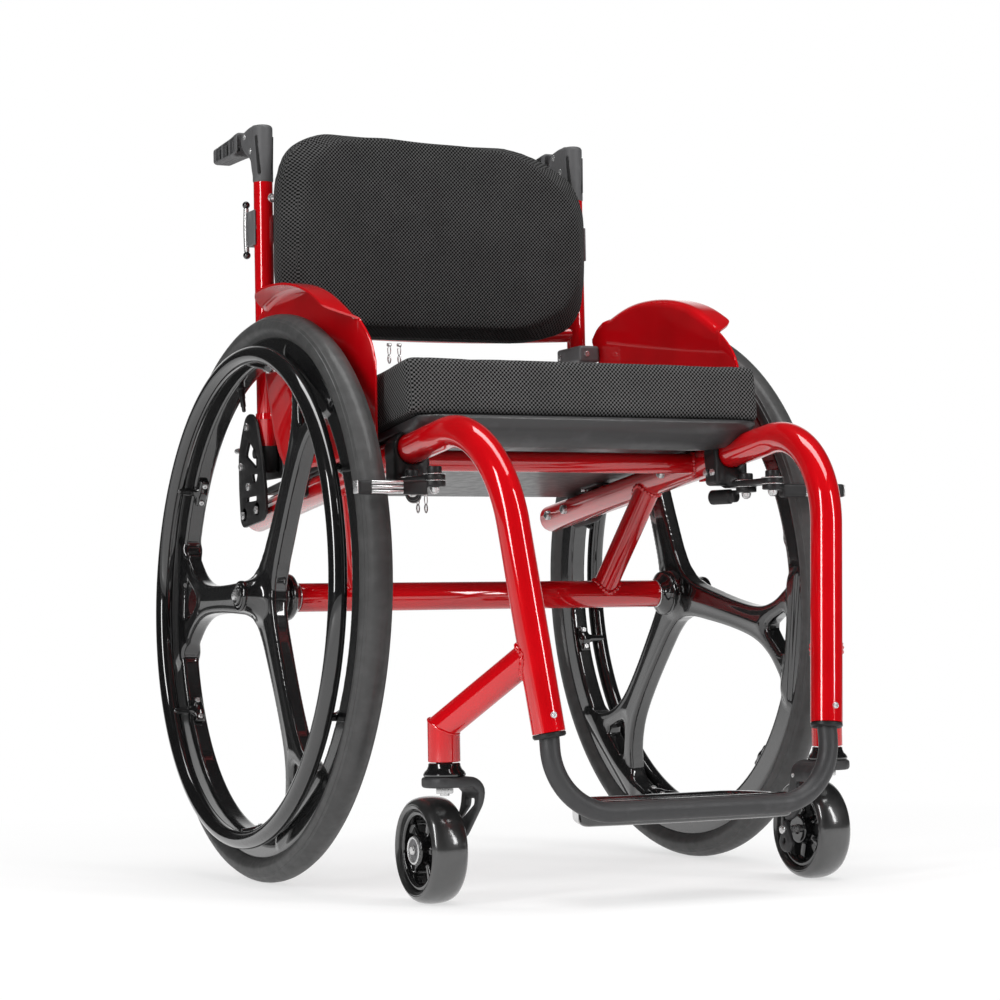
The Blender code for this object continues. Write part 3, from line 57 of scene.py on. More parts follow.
# Rear wheels
TYRE_RADIUS = 0.305
TYRE_WIDTH = 0.034
TYRE_BED_RADIUS = 0.28
AXLE_BORE = 0.0072
CAMBER = math.radians(1.97)
RIM_INNER_RADIUS = 0.252
RIM_WIDTH = 0.021
SPOKE_PHASE = {"right": 60, "left": -12}
HUB_REACH = 0.032
HANDRIM_RADIUS = 0.2597
HANDRIM_TUBE_RADIUS = 0.0095
HANDRIM_OFFSET = 0.028
HANDRIM_TABS = 6
TAB_PHASE = {"right": 30, "left": 12}
VALVE_PHASE = {"right": 112, "left": 158}
WHEEL_STEPS = 192

# Frame tubes
MAIN_TUBE_RADIUS = 0.016
SEAT_TUBE_REAR = Vector((0.1905, 0.194, 0.3996))
FRONT_CORNER = Vector((0.1872, -0.422, 0.4712))
FRONT_BEND_RADIUS = 0.11
LEG_FOOT = Vector((0.1545, -0.4585, 0.166))
CAMBER_TUBE_RADIUS = 0.0156
RISER_RADIUS = 0.0138
RISER_FOOT_X = 0.152
RISER_TOP_Y = -0.056
CROSSBAR_RADIUS = 0.0111
CROSSBAR_Y = -0.17
BOSS_RADIUS = 0.008
FRAME_SCREWS_Y = (-0.11, 0.128, 0.17)
LEG_SCREW_Z = 0.183

# Casters
CASTER_X = 0.218
CASTER_Y = -0.361
CASTER_TRAIL = 0.034
CASTER_RADIUS = 0.052
CASTER_WIDTH = 0.037
CASTER_BED_RADIUS = 0.0395
CASTER_WINDOWS = 5
BARREL_RADIUS = 0.0157
BARREL_FOOT_Z = 0.138
ELBOW_Z = 0.172
STRUT_RADIUS = 0.0146
STRUT_LEG_Z = 0.243
FORK_TOP_Z = 0.124
FORK_PLATE = 0.0105
FORK_ARM = 0.007
FORK_GAP = 0.0085

# Footrest
FOOT_TUBE_RADIUS = 0.00975
FOOT_TUBE_Z = 0.089
FOOT_BEND_RADIUS = 0.062
FOOT_STUB = 0.034
FOOTPLATE_WIDTHS = (0.238, 0.172)
FOOTPLATE_LENGTH = 0.086
FOOTPLATE_HEIGHT = 0.024

# Side guards: along their top, degrees up from the rear and the clearance outside the tyre
GUARD_ROUND_TYRE = [(67.7, 0.027), (71.2, 0.0332), (77.4, 0.0343), (84.1, 0.0345), (91.7, 0.0328),
                    (99.6, 0.0314), (107.4, 0.0295), (115.0, 0.0262), (121.5, 0.0242),
                    (127.3, 0.0198), (131.6, 0.0096)]
GUARD_X = 0.216
GUARD_THICKNESS = 0.0024
GUARD_LIP_REACH = 0.03
GUARD_LIP_INNER = (0.1, -0.168)
GUARD_LIP_OUTER = (0.044, -0.136)
GUARD_EARS = (-0.13, 0.01)
HINGE_PLATE_X = 0.214
HINGE_BOLTS = [(0.1603, 0.5019), (0.18, 0.4575), (0.1574, 0.4331), (0.1327, 0.4056), (0.175, 0.401)]
HINGE_BOSSES_Y = (0.132, 0.172)
HINGE_STOP_Z = 0.477

# Seat and back
PAN_WIDTH, PAN_LENGTH, PAN_THICKNESS = 0.396, 0.433, 0.009
SEAT_SEAM_X = 0.183
PAN_FRONT = (-0.272, 0.4808)
CUSHION_WIDTH = 0.416
CUSHION_LENGTH = 0.387
CUSHION_THICKNESS = 0.06
BACK_CENTRE_Z = 0.72
BACK_HALF_WIDTH = 0.199
BACK_HALF_HEIGHT = 0.116
BACK_THICKNESS = 0.05
BACK_REAR_Y = 0.1215
BACK_WRAP = 0.008
BACK_CROWN = 0.004
BACK_CHAMFER = 0.022
BACK_SEAM_DEPTH = 0.018
SHELL_THICKNESS = 0.003
BACK_MOUNT_Z = 0.728
BACK_PIVOT_Z = 0.47
BACK_BAR_Z = 0.619
# The back cushion from the front, each half down from its top: round its sides, and round its flat front
BACK_SIDE_LINES = ([(0.03, 0.1115), (0.1, 0.1145), (0.152, 0.115), (0.187, 0.096), (0.2015, 0.055),
                    (0.203, -0.05), (0.198, -0.09), (0.174, -0.114), (0.13, -0.121)],
                   [(0.03, 0.1115), (0.092, 0.1135), (0.13, 0.103), (0.177, 0.077), (0.192, 0.04),
                    (0.191, -0.037), (0.186, -0.08), (0.168, -0.105), (0.12, -0.12)])
BACK_FACE_LINES = ([(0.03, 0.1085), (0.082, 0.112), (0.146, 0.098), (0.173, 0.064), (0.182, 0.018),
                    (0.185, -0.05), (0.178, -0.08), (0.154, -0.098), (0.105, -0.108)],
                   [(0.03, 0.1075), (0.078, 0.103), (0.125, 0.083), (0.158, 0.052), (0.17, 0.015),
                    (0.17, -0.042), (0.158, -0.068), (0.138, -0.087), (0.094, -0.104)])
ZIP_PLACES = {"back": [(-0.068, 0.09, 0.593), (-0.0555, 0.09, 0.593)],
              "seat": [(-0.0171, 0.13, 0.424), (-0.0069, 0.13, 0.424)]}

# Canes and push handles
CANE_X = 0.2
CANE_Y = 0.13901
CANE_RADIUS = 0.0111
CANE_TOP_Z = 0.7812
CLAMP_SIZE = (0.027, 0.06, 0.02)
CLAMP_Y, CLAMP_Z = CANE_Y - 0.004, 0.592
CANE_FOOT_Z = 0.452
HEAD_TOP_Z = CANE_TOP_Z + 0.0678
GRIP_PIVOT = (CANE_Y + 0.028, HEAD_TOP_Z - 0.012)
GRIP_START_Y = GRIP_PIVOT[0] + 0.0195
GRIP_LENGTH = 0.086
GRIP_WINDOWS = 3
GRIP_WINDOW_STEP = 0.0235
HANDLE_PIN = (0.1495, 0.8174)
HANDLE_SLOT_TOP_Z, HANDLE_SLOT_FOOT_Z = 0.8325, 0.7895
HANDLE_MOUTH_TOP_Z = 0.8452
CANE_COLLAR_Z = 0.512
CANE_BOLT_Z = 0.7615

# Brakes: pivots as in the part, the clamp further forward
BRAKE_PLATE_Z = 0.4155
TYRE_FRONT_AT_BRAKE = math.sqrt(TYRE_RADIUS ** 2 - (BRAKE_PLATE_Z - TYRE_RADIUS) ** 2)
BAR_PIVOT = (0.196, -TYRE_FRONT_AT_BRAKE - 0.007 - 0.01172)
LEVER_PIVOT = (0.196, BAR_PIVOT[1] + 0.053)
LEVER_END = (0.1765, LEVER_PIVOT[1] + 0.04)
BRAKE_MOUNT_Y = LEVER_PIVOT[1] + 0.028
BRAKE_BAR_END_X = 0.281
LINK_Z = BRAKE_PLATE_Z - 0.0063

# Camera, room and lamps
CAMERA_PLACE = Vector((-1.3131, -2.7154, 0.2554))
CAMERA_YAW, CAMERA_PITCH, CAMERA_ROLL = 0.4579, 0.0513, -0.0197
CAMERA_LENS = 96.95
WORLD_FRONT, WORLD_BACK = 0.38, 0.82
GLOSS_FRONT = 0.02
FLOOR_WHITE = 0.62
# Name, place, target, size and power of each lamp
SOFTBOXES = [
    ("key_left", (-3.0, -1.5, 1.7), (0, 0, 0.4), (0.6, 2.6), 58),
    ("key_right", (1.6, -3.2, 1.9), (0, -0.1, 0.4), (0.45, 2.2), 38),
    ("overhead", (0.2, -0.4, 3.0), (0, 0, 0.4), (0.9, 3.0), 42),
]

# Turns a plate's X and Y into the chair's Y and Z
SIDE_PLANE = Matrix(((0, 0, 1, 0), (1, 0, 0, 0), (0, 1, 0, 0), (0, 0, 0, 1)))
UNMOVED = Matrix()
AXLE_Z = AXLE.z
# Between pieces that would otherwise touch
GAP = 0.0003


# Materials

class Nodes:
    """Short calls for building one material's node tree."""

    def __init__(self, name):
        self.material = bpy.data.materials.new(name)
        self.material.use_nodes = True
        self.tree = self.material.node_tree
        self.shader = self.tree.nodes["Principled BSDF"]
        self.place = self.add("ShaderNodeTexCoord").outputs["Object"]

    def add(self, kind, **settings):
        node = self.tree.nodes.new(kind)
        for key, value in settings.items():
            setattr(node, key, value)
        return node

    def split(self, vector=None):
        node = self.add("ShaderNodeSeparateXYZ")
        self.wire(vector or self.place, node.inputs[0])
        return node.outputs

    def wire(self, value, socket):
        if isinstance(value, bpy.types.NodeSocket):
            self.tree.links.new(value, socket)
        else:
            socket.default_value = value

    def math(self, operation, a, b=0.0, c=0.0):
        node = self.add("ShaderNodeMath", operation=operation)
        for value, socket in zip((a, b, c), node.inputs):
            self.wire(value, socket)
        return node.outputs[0]

    def noise(self, scale, detail, vector=None):
        node = self.add("ShaderNodeTexNoise")
        self.wire(vector or self.place, node.inputs["Vector"])
        node.inputs["Scale"].default_value = scale
        node.inputs["Detail"].default_value = detail
        return node.outputs["Fac"]

    def ramp(self, value, low, high, start=0.0, end=1.0):
        """A value between two limits turned into a range between two others."""
        node = self.add("ShaderNodeMapRange")
        for key, number in zip(("Value", "From Min", "From Max", "To Min", "To Max"),
                               (value, low, high, start, end)):
            self.wire(number, node.inputs[key])
        return node.outputs[0]

    def mix(self, factor, first, second):
        node = self.add("ShaderNodeMix", data_type="RGBA")
        self.wire(factor, node.inputs["Factor"])
        for colour, socket in ((first, node.inputs[6]), (second, node.inputs[7])):
            self.wire(colour if isinstance(colour, bpy.types.NodeSocket) else (*colour, 1), socket)
        return node.outputs[2]

    def bump(self, height, distance, strength=1.0):
        node = self.add("ShaderNodeBump")
        node.inputs["Strength"].default_value = strength
        node.inputs["Distance"].default_value = distance
        self.wire(height, node.inputs["Height"])
        self.wire(node.outputs[0], self.shader.inputs["Normal"])

    def set(self, **values):
        for key, value in values.items():
            socket = self.shader.inputs[key.replace("_", " ")]
            if isinstance(value, tuple) and len(value) == 3:
                value = (*value, 1)
            self.wire(value, socket)
        return self.material


def grey(value, tint=0.0):
    return (value, value, value * (1 + tint))


def painted_red():
    """Candy red: a saturated base under a deep clear coat."""
    n = Nodes("candy red paint")
    cloud = n.noise(14, 2)
    colour = n.mix(n.ramp(cloud, 0.35, 0.65), (0.52, 0.0006, 0.0035), (0.62, 0.0008, 0.005))
    n.bump(n.noise(90, 2), 0.00004, 0.4)
    return n.set(Base_Color=colour, Roughness=n.ramp(n.noise(2600, 1), 0.3, 0.7, 0.3, 0.42), Metallic=0.15,
                 Specular_IOR_Level=0.03, Coat_Weight=1.0, Coat_Roughness=0.045, Coat_IOR=1.75)


def satin_metal(name, value, roughness, grain=1500, metallic=0.4):
    """Powder coat: a fine orange peel, cloudy sheen and lighter rubbed patches."""
    n = Nodes(name)
    worn = n.ramp(n.noise(40, 6), 0.58, 0.75)
    n.bump(n.noise(grain, 3), 0.00006, 0.6)
    return n.set(Base_Color=n.mix(worn, grey(value, 0.03), grey(value * 1.5, 0.03)), Metallic=metallic,
                 Roughness=n.ramp(n.noise(90, 4), 0.3, 0.7, roughness - 0.06, roughness + 0.08))


def gloss_black():
    n = Nodes("gloss black finish")
    scuff = n.ramp(n.noise(60, 8), 0.6, 0.8)
    n.bump(n.noise(250, 2), 0.00003, 0.5)
    return n.set(Base_Color=n.mix(scuff, grey(0.006, 0.05), grey(0.012, 0.05)), Specular_IOR_Level=0.1,
                 Roughness=n.ramp(n.noise(30, 4), 0.3, 0.7, 0.2, 0.32), Coat_Weight=1.0,
                 Coat_Roughness=0.04, Coat_IOR=1.8)


def carbon():
    """A faint twill weave under a clear gloss coat."""
    n = Nodes("carbon weave")
    x, y, _ = n.split()
    thread = 0.0011
    across = n.math("FLOOR", n.math("DIVIDE", n.math("ADD", x, y), thread))
    along = n.math("FLOOR", n.math("DIVIDE", n.math("SUBTRACT", x, y), thread))
    twill = n.math("LESS_THAN", n.math("FLOORED_MODULO", n.math("ADD", across, along), 4), 2)
    cloud = n.ramp(n.noise(30, 4), 0.3, 0.7)
    n.bump(n.noise(60, 2), 0.00005, 0.4)
    return n.set(Base_Color=n.mix(n.math("MULTIPLY", twill, cloud), grey(0.006, 0.05), grey(0.013, 0.05)),
                 Roughness=n.ramp(twill, 0, 1, 0.36, 0.3), Specular_IOR_Level=0.15, Coat_Weight=1.0,
                 Coat_Roughness=0.04, Coat_IOR=1.85)


def rubber(name, value, roughness, grain=900, coat=0.0):
    n = Nodes(name)
    dust = n.ramp(n.noise(70, 8), 0.42, 0.72)
    n.bump(n.noise(grain, 5), 0.00015, 0.6)
    return n.set(Base_Color=n.mix(dust, grey(value), grey(value * 1.35)),
                 Roughness=n.ramp(n.noise(130, 5), 0.3, 0.7, roughness - 0.08, roughness + 0.08),
                 Coat_Weight=coat, Coat_Roughness=0.14, Coat_IOR=1.8)


def steel(name, value, roughness):
    n = Nodes(name)
    stretch = n.add("ShaderNodeMapping")
    stretch.inputs["Scale"].default_value = (1, 1, 14)
    n.wire(n.place, stretch.inputs["Vector"])
    brushed = n.noise(420, 3, stretch.outputs[0])
    n.bump(brushed, 0.00003, 0.4)
    return n.set(Base_Color=n.mix(n.noise(200, 4), grey(value * 0.85), grey(value * 1.1)), Metallic=0.75,
                 Roughness=n.ramp(brushed, 0.3, 0.7, roughness - 0.06, roughness + 0.08))


def spacer_mesh(name, thread_low, thread_high):
    """Open knitted cloth: small holes in a diamond lattice, on whichever way a face looks most, with painted
    shade on faces that look down.
    """
    n = Nodes(name)
    half_cell = 0.0022
    x, y, z = n.split()
    facing = n.split(n.tree.nodes["Texture Coordinate"].outputs["Normal"])
    size = [n.math("ABSOLUTE", socket) for socket in facing]
    sideways = n.math("GREATER_THAN", size[0], n.math("MAXIMUM", size[1], size[2]))
    level = n.math("GREATER_THAN", size[2], n.math("MAXIMUM", size[0], size[1]))
    u = n.math("MULTIPLY_ADD", n.math("SUBTRACT", y, x), sideways, x)
    v = n.math("MULTIPLY_ADD", n.math("SUBTRACT", y, z), level, z)
    lattice = n.math("MULTIPLY", n.math("COSINE", n.math("MULTIPLY", u, math.pi / half_cell)),
                     n.math("COSINE", n.math("MULTIPLY", v, math.pi / half_cell)))
    holes_and_painted_shade = n.ramp(lattice, -0.2, 0.22)
    fuzz = n.math("MULTIPLY", n.noise(1400, 3), 0.5)
    # Painted shade: faces that look down are given the dark hole colour
    holes_and_painted_shade = n.math("MAXIMUM", holes_and_painted_shade, n.ramp(facing[2], -0.55, -0.8, 0, 0.75))
    cloud = n.math("ADD", fuzz, n.math("MULTIPLY", n.noise(22, 3), 0.5))
    thread = n.mix(cloud, grey(thread_low), grey(thread_high))
    n.bump(n.math("SUBTRACT", n.math("MULTIPLY", fuzz, 0.4), holes_and_painted_shade), 0.0007, 0.7)
    return n.set(Base_Color=n.mix(holes_and_painted_shade, thread, grey(0.003)), Roughness=0.85, Specular_IOR_Level=0.08,
                 Sheen_Weight=0.03, Sheen_Roughness=0.45, Sheen_Tint=(0.8, 0.8, 0.8))


MATERIALS = {
    "red": painted_red(),
    "satin": satin_metal("satin black metal", 0.018, 0.4),
    # Painted shade for the floors of the handles' grooves and windows
    "pocket": satin_metal("painted recess shade", 0.005, 0.75, 900, 0.0),
    "foot": satin_metal("charcoal powder coat", 0.052, 0.46, 1100),
    "pan": satin_metal("seat pan laminate", 0.034, 0.34, 160, 0.0),
    "handle": satin_metal("moulded handle plastic", 0.085, 0.55, 1300, 0.0),
    "latch": satin_metal("grey die casting", 0.15, 0.45, 1300, 0.3),
    "gloss": gloss_black(),
    "carbon": carbon(),
    "tyre": rubber("tyre rubber", 0.042, 0.6, 900, 0.12),
    "caster": rubber("caster rubber", 0.014, 0.4, 500, 1.0),
    "steel": steel("bright steel", 0.66, 0.24),
    "chrome": steel("dark burnished pin", 0.16, 0.22),
    "mesh": spacer_mesh("spacer mesh cloth", 0.034, 0.115),
    "seat_mesh": spacer_mesh("seat mesh cloth", 0.06, 0.17),
}


# Shapes

def linked(name, data):
    """A new object, standing in the scene."""
    out = bpy.data.objects.new(name, data)
    bpy.context.scene.collection.objects.link(out)
    return out


def applied(thing):
    """An object's shape with its modifiers applied."""
    return bpy.data.meshes.new_from_object(thing.evaluated_get(bpy.context.evaluated_depsgraph_get()))


def to_mesh(bm):
    """The finished mesh, smooth but for its sharper edges."""
    mesh = bpy.data.meshes.new("shape")
    bm.to_mesh(mesh)
    bm.free()
    mesh.shade_smooth()
    mesh.set_sharp_from_angle(angle=math.radians(35))
    return mesh


def lathe(profile, steps=48):
    """Points of (radius, height) turned about Z; a profile that starts off the axis is a closed one."""
    bm = bmesh.new()
    verts = [bm.verts.new((radius, 0, height)) for radius, height in profile]
    edges = [bm.edges.new(pair) for pair in zip(verts, verts[1:])]
    if profile[0][0] > 0:
        edges.append(bm.edges.new((verts[-1], verts[0])))
    bmesh.ops.spin(bm, geom=verts + edges, cent=(0, 0, 0), axis=(0, 0, 1), angle=math.tau, steps=steps,
                   use_merge=True)
    bmesh.ops.remove_doubles(bm, verts=bm.verts, dist=1e-6)
    bmesh.ops.recalc_face_normals(bm, faces=bm.faces)
    return to_mesh(bm)


def skinned(rings):
    """Rings of places joined one to the next by quads, with both ends closed."""
    bm = bmesh.new()
    rings = [[bm.verts.new(place) for place in ring] for ring in rings]
    for first, second in zip(rings, rings[1:]):
        for k in range(len(first)):
            on = (k + 1) % len(first)
            bm.faces.new((first[k], first[on], second[on], second[k]))
    bm.faces.new(rings[0][::-1])
    bm.faces.new(rings[-1])
    return to_mesh(bm)


def spread(along, count, across=None):
    """Directions square to a line, evenly round it."""
    across = across or along.orthogonal().normalized()
    other = along.cross(across)
    angles = [math.tau * k / count for k in range(count)]
    return [across * math.cos(angle) + other * math.sin(angle) for angle in angles]


def tube(points, radius, sides=40):
    """A round tube along points; radius is one number or one for each point."""
    points = [Vector(p) for p in points]
    radii = radius if isinstance(radius, (list, tuple)) else [radius] * len(points)
    rings, across = [], None
    for i, (point, size) in enumerate(zip(points, radii)):
        along = (points[min(i + 1, len(points) - 1)] - points[max(i - 1, 0)]).normalized()
        across = across or along.orthogonal().normalized()
        across = (across - along * across.dot(along)).normalized()
        rings.append([point + way * size for way in spread(along, sides, across)])
    return skinned(rings)


def plate(outline, thickness, edge, holes=()):
    """A flat outline with holes as a solid with rounded edges, centred on its own plane."""
    curve = bpy.data.curves.new("outline", "CURVE")
    curve.dimensions = "2D"
    curve.fill_mode = "BOTH"
    curve.extrude = thickness / 2 - edge
    curve.bevel_depth = edge
    curve.bevel_resolution = 2
    curve.offset = -edge
    for points in (outline, *holes):
        spline = curve.splines.new("POLY")
        spline.points.add(len(points) - 1)
        for point, (x, y) in zip(spline.points, points):
            point.co = (x, y, 0, 1)
        spline.use_cyclic_u = True
    holder = linked("outline", curve)
    mesh = applied(holder)
    bpy.data.objects.remove(holder)
    bm = bmesh.new()
    bm.from_mesh(mesh)
    bmesh.ops.remove_doubles(bm, verts=bm.verts, dist=1e-6)
    return to_mesh(bm)


def block(x, y, z, edge=0.001, segments=3):
    bm = bmesh.new()
    bmesh.ops.create_cube(bm, size=1)
    bmesh.ops.scale(bm, vec=(x, y, z), verts=bm.verts)
    bmesh.ops.bevel(bm, geom=bm.edges[:], offset=edge, segments=segments, profile=0.5, affect="EDGES")
    return to_mesh(bm)


def grown(parts):
    """Several meshes as one; a pair of mesh and frame is moved there first."""
    bm = bmesh.new()
    for part in parts:
        mesh, place = part if isinstance(part, tuple) else (part, UNMOVED)
        part = mesh.copy()
        part.transform(place)
        bm.from_mesh(part)
        bpy.data.meshes.remove(part)
    return to_mesh(bm)


def at(x, y, z):
    return Matrix.Translation((x, y, z))


def frame_on(origin, z_axis, x_hint=(1, 0, 0)):
    """A frame at a point with its Z along an axis and its X near a hint."""
    z = Vector(z_axis).normalized()
    y = z.cross(Vector(x_hint)).normalized()
    out = Matrix((y.cross(z), y, z)).transposed().to_4x4()
    out.translation = origin
    return out


def circle(radius, count):
    return [(radius * math.cos(math.tau * i / count), radius * math.sin(math.tau * i / count))
            for i in range(count)]


def arc(x, y, radius, first, last, count):
    angles = [math.radians(first + (last - first) * i / (count - 1)) for i in range(count)]
    return [(x + radius * math.cos(a), y + radius * math.sin(a)) for a in angles]


def filleted(points, radius, steps):
    """A line of points with its corners turned into arcs."""
    points = [Vector(p) for p in points]
    path = [points[0]]
    for before, corner, after in zip(points, points[1:], points[2:]):
        into = (corner - before).normalized()
        out = (after - corner).normalized()
        turn = into.angle(out)
        start = corner - into * radius * math.tan(turn / 2)
        inward = (out - into * into.dot(out)).normalized()
        centre = start + inward * radius
        for i in range(steps + 1):
            angle = turn * i / steps
            path.append(centre - inward * radius * math.cos(angle) + into * radius * math.sin(angle))
    path.append(points[-1])
    return path


def moved(x, y, points):
    """A flat outline or profile, shifted."""
    return [(x + a, y + b) for a, b in points]


def mirrored(half, middle=()):
    """An outline's upper half, its middle point and the half again below."""
    return [*half, *middle, *((a, -b) for a, b in reversed(half))]


def eased(points, steps=6):
    """A smooth line through points, as a list of pairs."""
    points = [Vector(p) for p in points]
    padded = [points[0] * 2 - points[1], *points, points[-1] * 2 - points[-2]]
    line = []
    for before, start, end, after in zip(padded, padded[1:], padded[2:], padded[3:]):
        bend, twist = 2 * before - 5 * start + 4 * end - after, 3 * start - before - 3 * end + after
        for t in np.arange(steps) / steps:
            line.append(tuple(0.5 * (2 * start + (end - before) * t + bend * t * t + twist * t ** 3)))
    return line + [tuple(points[-1])]


# Solids from distance fields
# A field takes an array of places and gives each one's distance to a surface, negative inside.

def blended(a, b, reach):
    """Both shapes, with a fillet where they meet."""
    share = np.clip(0.5 + 0.5 * (b - a) / reach, 0, 1)
    return b + (a - b) * share - reach * share * (1 - share)


def common(a, b, edge):
    """What two shapes share, with a rounded edge."""
    return -blended(-a, -b, edge)


def capsule(p, start, end, radius, end_radius=None):
    start, along = np.array(start), np.array(end) - np.array(start)
    share = np.clip((p - start) @ along / (along @ along), 0, 1)
    size = radius + ((radius if end_radius is None else end_radius) - radius) * share
    return np.linalg.norm(p - start - share[:, None] * along, axis=1) - size


def rounded_box(p, centre, half, edge):
    q = np.abs(p - np.array(centre)) - np.array(half) + edge
    return np.linalg.norm(np.maximum(q, 0), axis=1) + np.minimum(q.max(axis=1), 0) - edge


def slab(flat, height, half, edge):
    """A flat outline's distance and a height turned into a plate with rounded edges."""
    a, b = flat + edge, np.abs(height) - half + edge
    return np.hypot(np.maximum(a, 0), np.maximum(b, 0)) + np.minimum(np.maximum(a, b), 0) - edge


def nearest(x, y, line):
    """Distance from places to a line of points."""
    near = np.full(len(x), 1e9)
    for (ax, ay), (bx, by) in zip(line, line[1:]):
        ex, ey = bx - ax, by - ay
        share = np.clip(((x - ax) * ex + (y - ay) * ey) / (ex * ex + ey * ey), 0, 1)
        near = np.minimum(near, np.hypot(x - ax - ex * share, y - ay - ey * share))
    return near


def within(x, y, outline):
    """Distance from places to a closed outline, negative inside it."""
    closed = list(outline) + [outline[0]]
    inside = np.zeros(len(x), bool)
    for (ax, ay), (bx, by) in zip(closed, closed[1:]):
        if ay != by:
            inside ^= ((ay > y) != (by > y)) & (x < ax + (bx - ax) * (y - ay) / (by - ay))
    near = nearest(x, y, closed)
    return np.where(inside, -near, near)


def settled(field, points, step, rounds=4):
    """Points moved on to the surface along the field's slope."""
    for _ in range(rounds):
        value = field(points)
        slope = np.empty_like(points)
        for axis in range(3):
            shift = np.zeros(3)
            shift[axis] = step * 0.05
            slope[:, axis] = (field(points + shift) - field(points - shift)) / (step * 0.1)
        size = np.maximum((slope ** 2).sum(axis=1), 0.05)
        points = points - slope * np.clip(value / size, -step, step)[:, None]
    return points


def solid(field, low, high, step):
    """The closed surface of a field inside a box, as smooth quads about one step wide."""
    low = np.array(low)
    counts = np.ceil((np.array(high) - low) / step).astype(int) + 1
    axes = [low[i] + step * np.arange(counts[i]) for i in range(3)]
    grid = np.stack(np.meshgrid(*axes, indexing="ij"), -1).reshape(-1, 3)
    inside = (field(grid) < 0).reshape(counts)
    held = np.zeros(counts - 1, int)
    for x, y, z in itertools.product((0, 1), repeat=3):
        held += inside[x:counts[0] - 1 + x, y:counts[1] - 1 + y, z:counts[2] - 1 + z]
    crossed = (held > 0) & (held < 8)
    index = np.full(crossed.shape, -1)
    index[crossed] = np.arange(crossed.sum())
    quads = []
    for axis in range(3):
        lit, cell = np.moveaxis(inside, axis, 0), np.moveaxis(index, axis, 0)
        i, j, k = np.nonzero((lit[1:] != lit[:-1])[:, 1:-1, 1:-1])
        faces = np.stack([cell[i, j, k], cell[i, j + 1, k], cell[i, j + 1, k + 1], cell[i, j, k + 1]], 1)
        turned = lit[i, j + 1, k + 1] == (axis == 1)
        faces[turned] = faces[turned][:, ::-1]
        quads.append(faces)
    quads = np.concatenate(quads)
    points = settled(field, low + (np.argwhere(crossed) + 0.5) * step, step)
    for _ in range(2):
        total, near = np.zeros_like(points), np.zeros(len(points))
        for a, b in ((0, 1), (1, 2), (2, 3), (3, 0)):
            for one, other in ((a, b), (b, a)):
                np.add.at(total, quads[:, one], points[quads[:, other]])
                np.add.at(near, quads[:, one], 1)
        points = settled(field, total / near[:, None], step, 2)
    mesh = bpy.data.meshes.new("solid")
    mesh.from_pydata(points.tolist(), [], quads.tolist())
    mesh.shade_smooth()
    return mesh


# Places

def sided(shape, side):
    """A copy of a shape drawn for the sitter's left, mirrored for the right."""
    mesh = shape.copy()
    if side < 0:
        mesh.transform(Matrix.Diagonal((-1, 1, 1, 1)))
        mesh.flip_normals()
    return mesh


def seat_tube_point(side, y):
    point = SEAT_TUBE_REAR.lerp(FRONT_CORNER, (SEAT_TUBE_REAR.y - y) / (SEAT_TUBE_REAR.y - FRONT_CORNER.y))
    return Vector((side * point.x, point.y, point.z))


def seat_tube_face(y):
    """The outer face of the left seat tube, as X and Z."""
    return abs(seat_tube_point(1, y).x) + MAIN_TUBE_RADIUS, seat_tube_point(1, y).z


def leg_point(side, z):
    point = LEG_FOOT.lerp(FRONT_CORNER, (z - LEG_FOOT.z) / (FRONT_CORNER.z - LEG_FOOT.z))
    return Vector((side * point.x, point.y, point.z))


def wheel_frame(side):
    """Z runs outboard along the axle, Y up in the wheel's plane."""
    axis = Vector((side * math.cos(CAMBER), 0, math.sin(CAMBER)))
    up = Vector((-side * math.sin(CAMBER), 0, math.cos(CAMBER)))
    return frame_on((side * AXLE.x, 0, AXLE_Z), axis, up.cross(axis))


def wheel_angle(side, degrees_from_front):
    angle = math.radians(degrees_from_front)
    return angle if side < 0 else math.pi - angle


def caster_frame(side):
    return frame_on((side * CASTER_X, CASTER_Y + CASTER_TRAIL, CASTER_RADIUS), (side, 0, 0), (0, side, 0))


def seat_frame():
    slope = SEAT_TUBE_REAR - FRONT_CORNER
    back = Vector((0, slope.y, slope.z)).normalized()
    return frame_on((0, *PAN_FRONT), Vector((1, 0, 0)).cross(back), (1, 0, 0))


# Pieces

def piece(name, mesh, finish, body, place=UNMOVED, replaces=""):
    """One visible piece, standing in chair coordinates and riding on a CAD body."""
    out = linked(name, mesh)
    out.matrix_world = CHAIR @ place
    mesh.materials.clear()
    mesh.materials.append(MATERIALS[finish])
    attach(out, body)
    if replaces:
        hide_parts(replaces)
    return out


def as_sheet(out, thickness, edge):
    """Gives an open surface a thickness and eased edges."""
    sheet = out.modifiers.new("Solidify", "SOLIDIFY")
    sheet.thickness, sheet.offset = thickness, 0
    bevel = out.modifiers.new("Bevel", "BEVEL")
    bevel.width, bevel.segments = edge, 3
    bevel.limit_method, bevel.angle_limit = "ANGLE", math.radians(50)


# Small parts

SOCKET_SHARE = 0.45


def rounded(outline, radius, steps=5):
    """A closed outline with its corners rounded, each by no more than its sides allow."""
    points = [Vector(p) for p in outline]
    path = []
    for i, corner in enumerate(points):
        back, on = points[i - 1] - corner, points[(i + 1) % len(points)] - corner
        reach = min(radius, back.length * 0.45, on.length * 0.45)
        start, end = corner + back.normalized() * reach, corner + on.normalized() * reach
        for k in range(steps + 1):
            t = k / steps
            path.append(tuple(start.lerp(corner, t).lerp(corner.lerp(end, t), t)))
    return path


def screw(radius, height):
    """A round screw head with a hexagonal socket, standing on Z."""
    head = [(radius, -0.001), (radius, height * 0.5), (radius * 0.95, height * 0.8), (radius * 0.8, height)]
    rings = [[(x, y, z) for x, y in circle(r, 24)] for r, z in head]
    rings += [[(x, y, deep) for x, y in hexagon(radius * SOCKET_SHARE, 24)]
              for deep in (height, height * 0.25)]
    return skinned(rings)


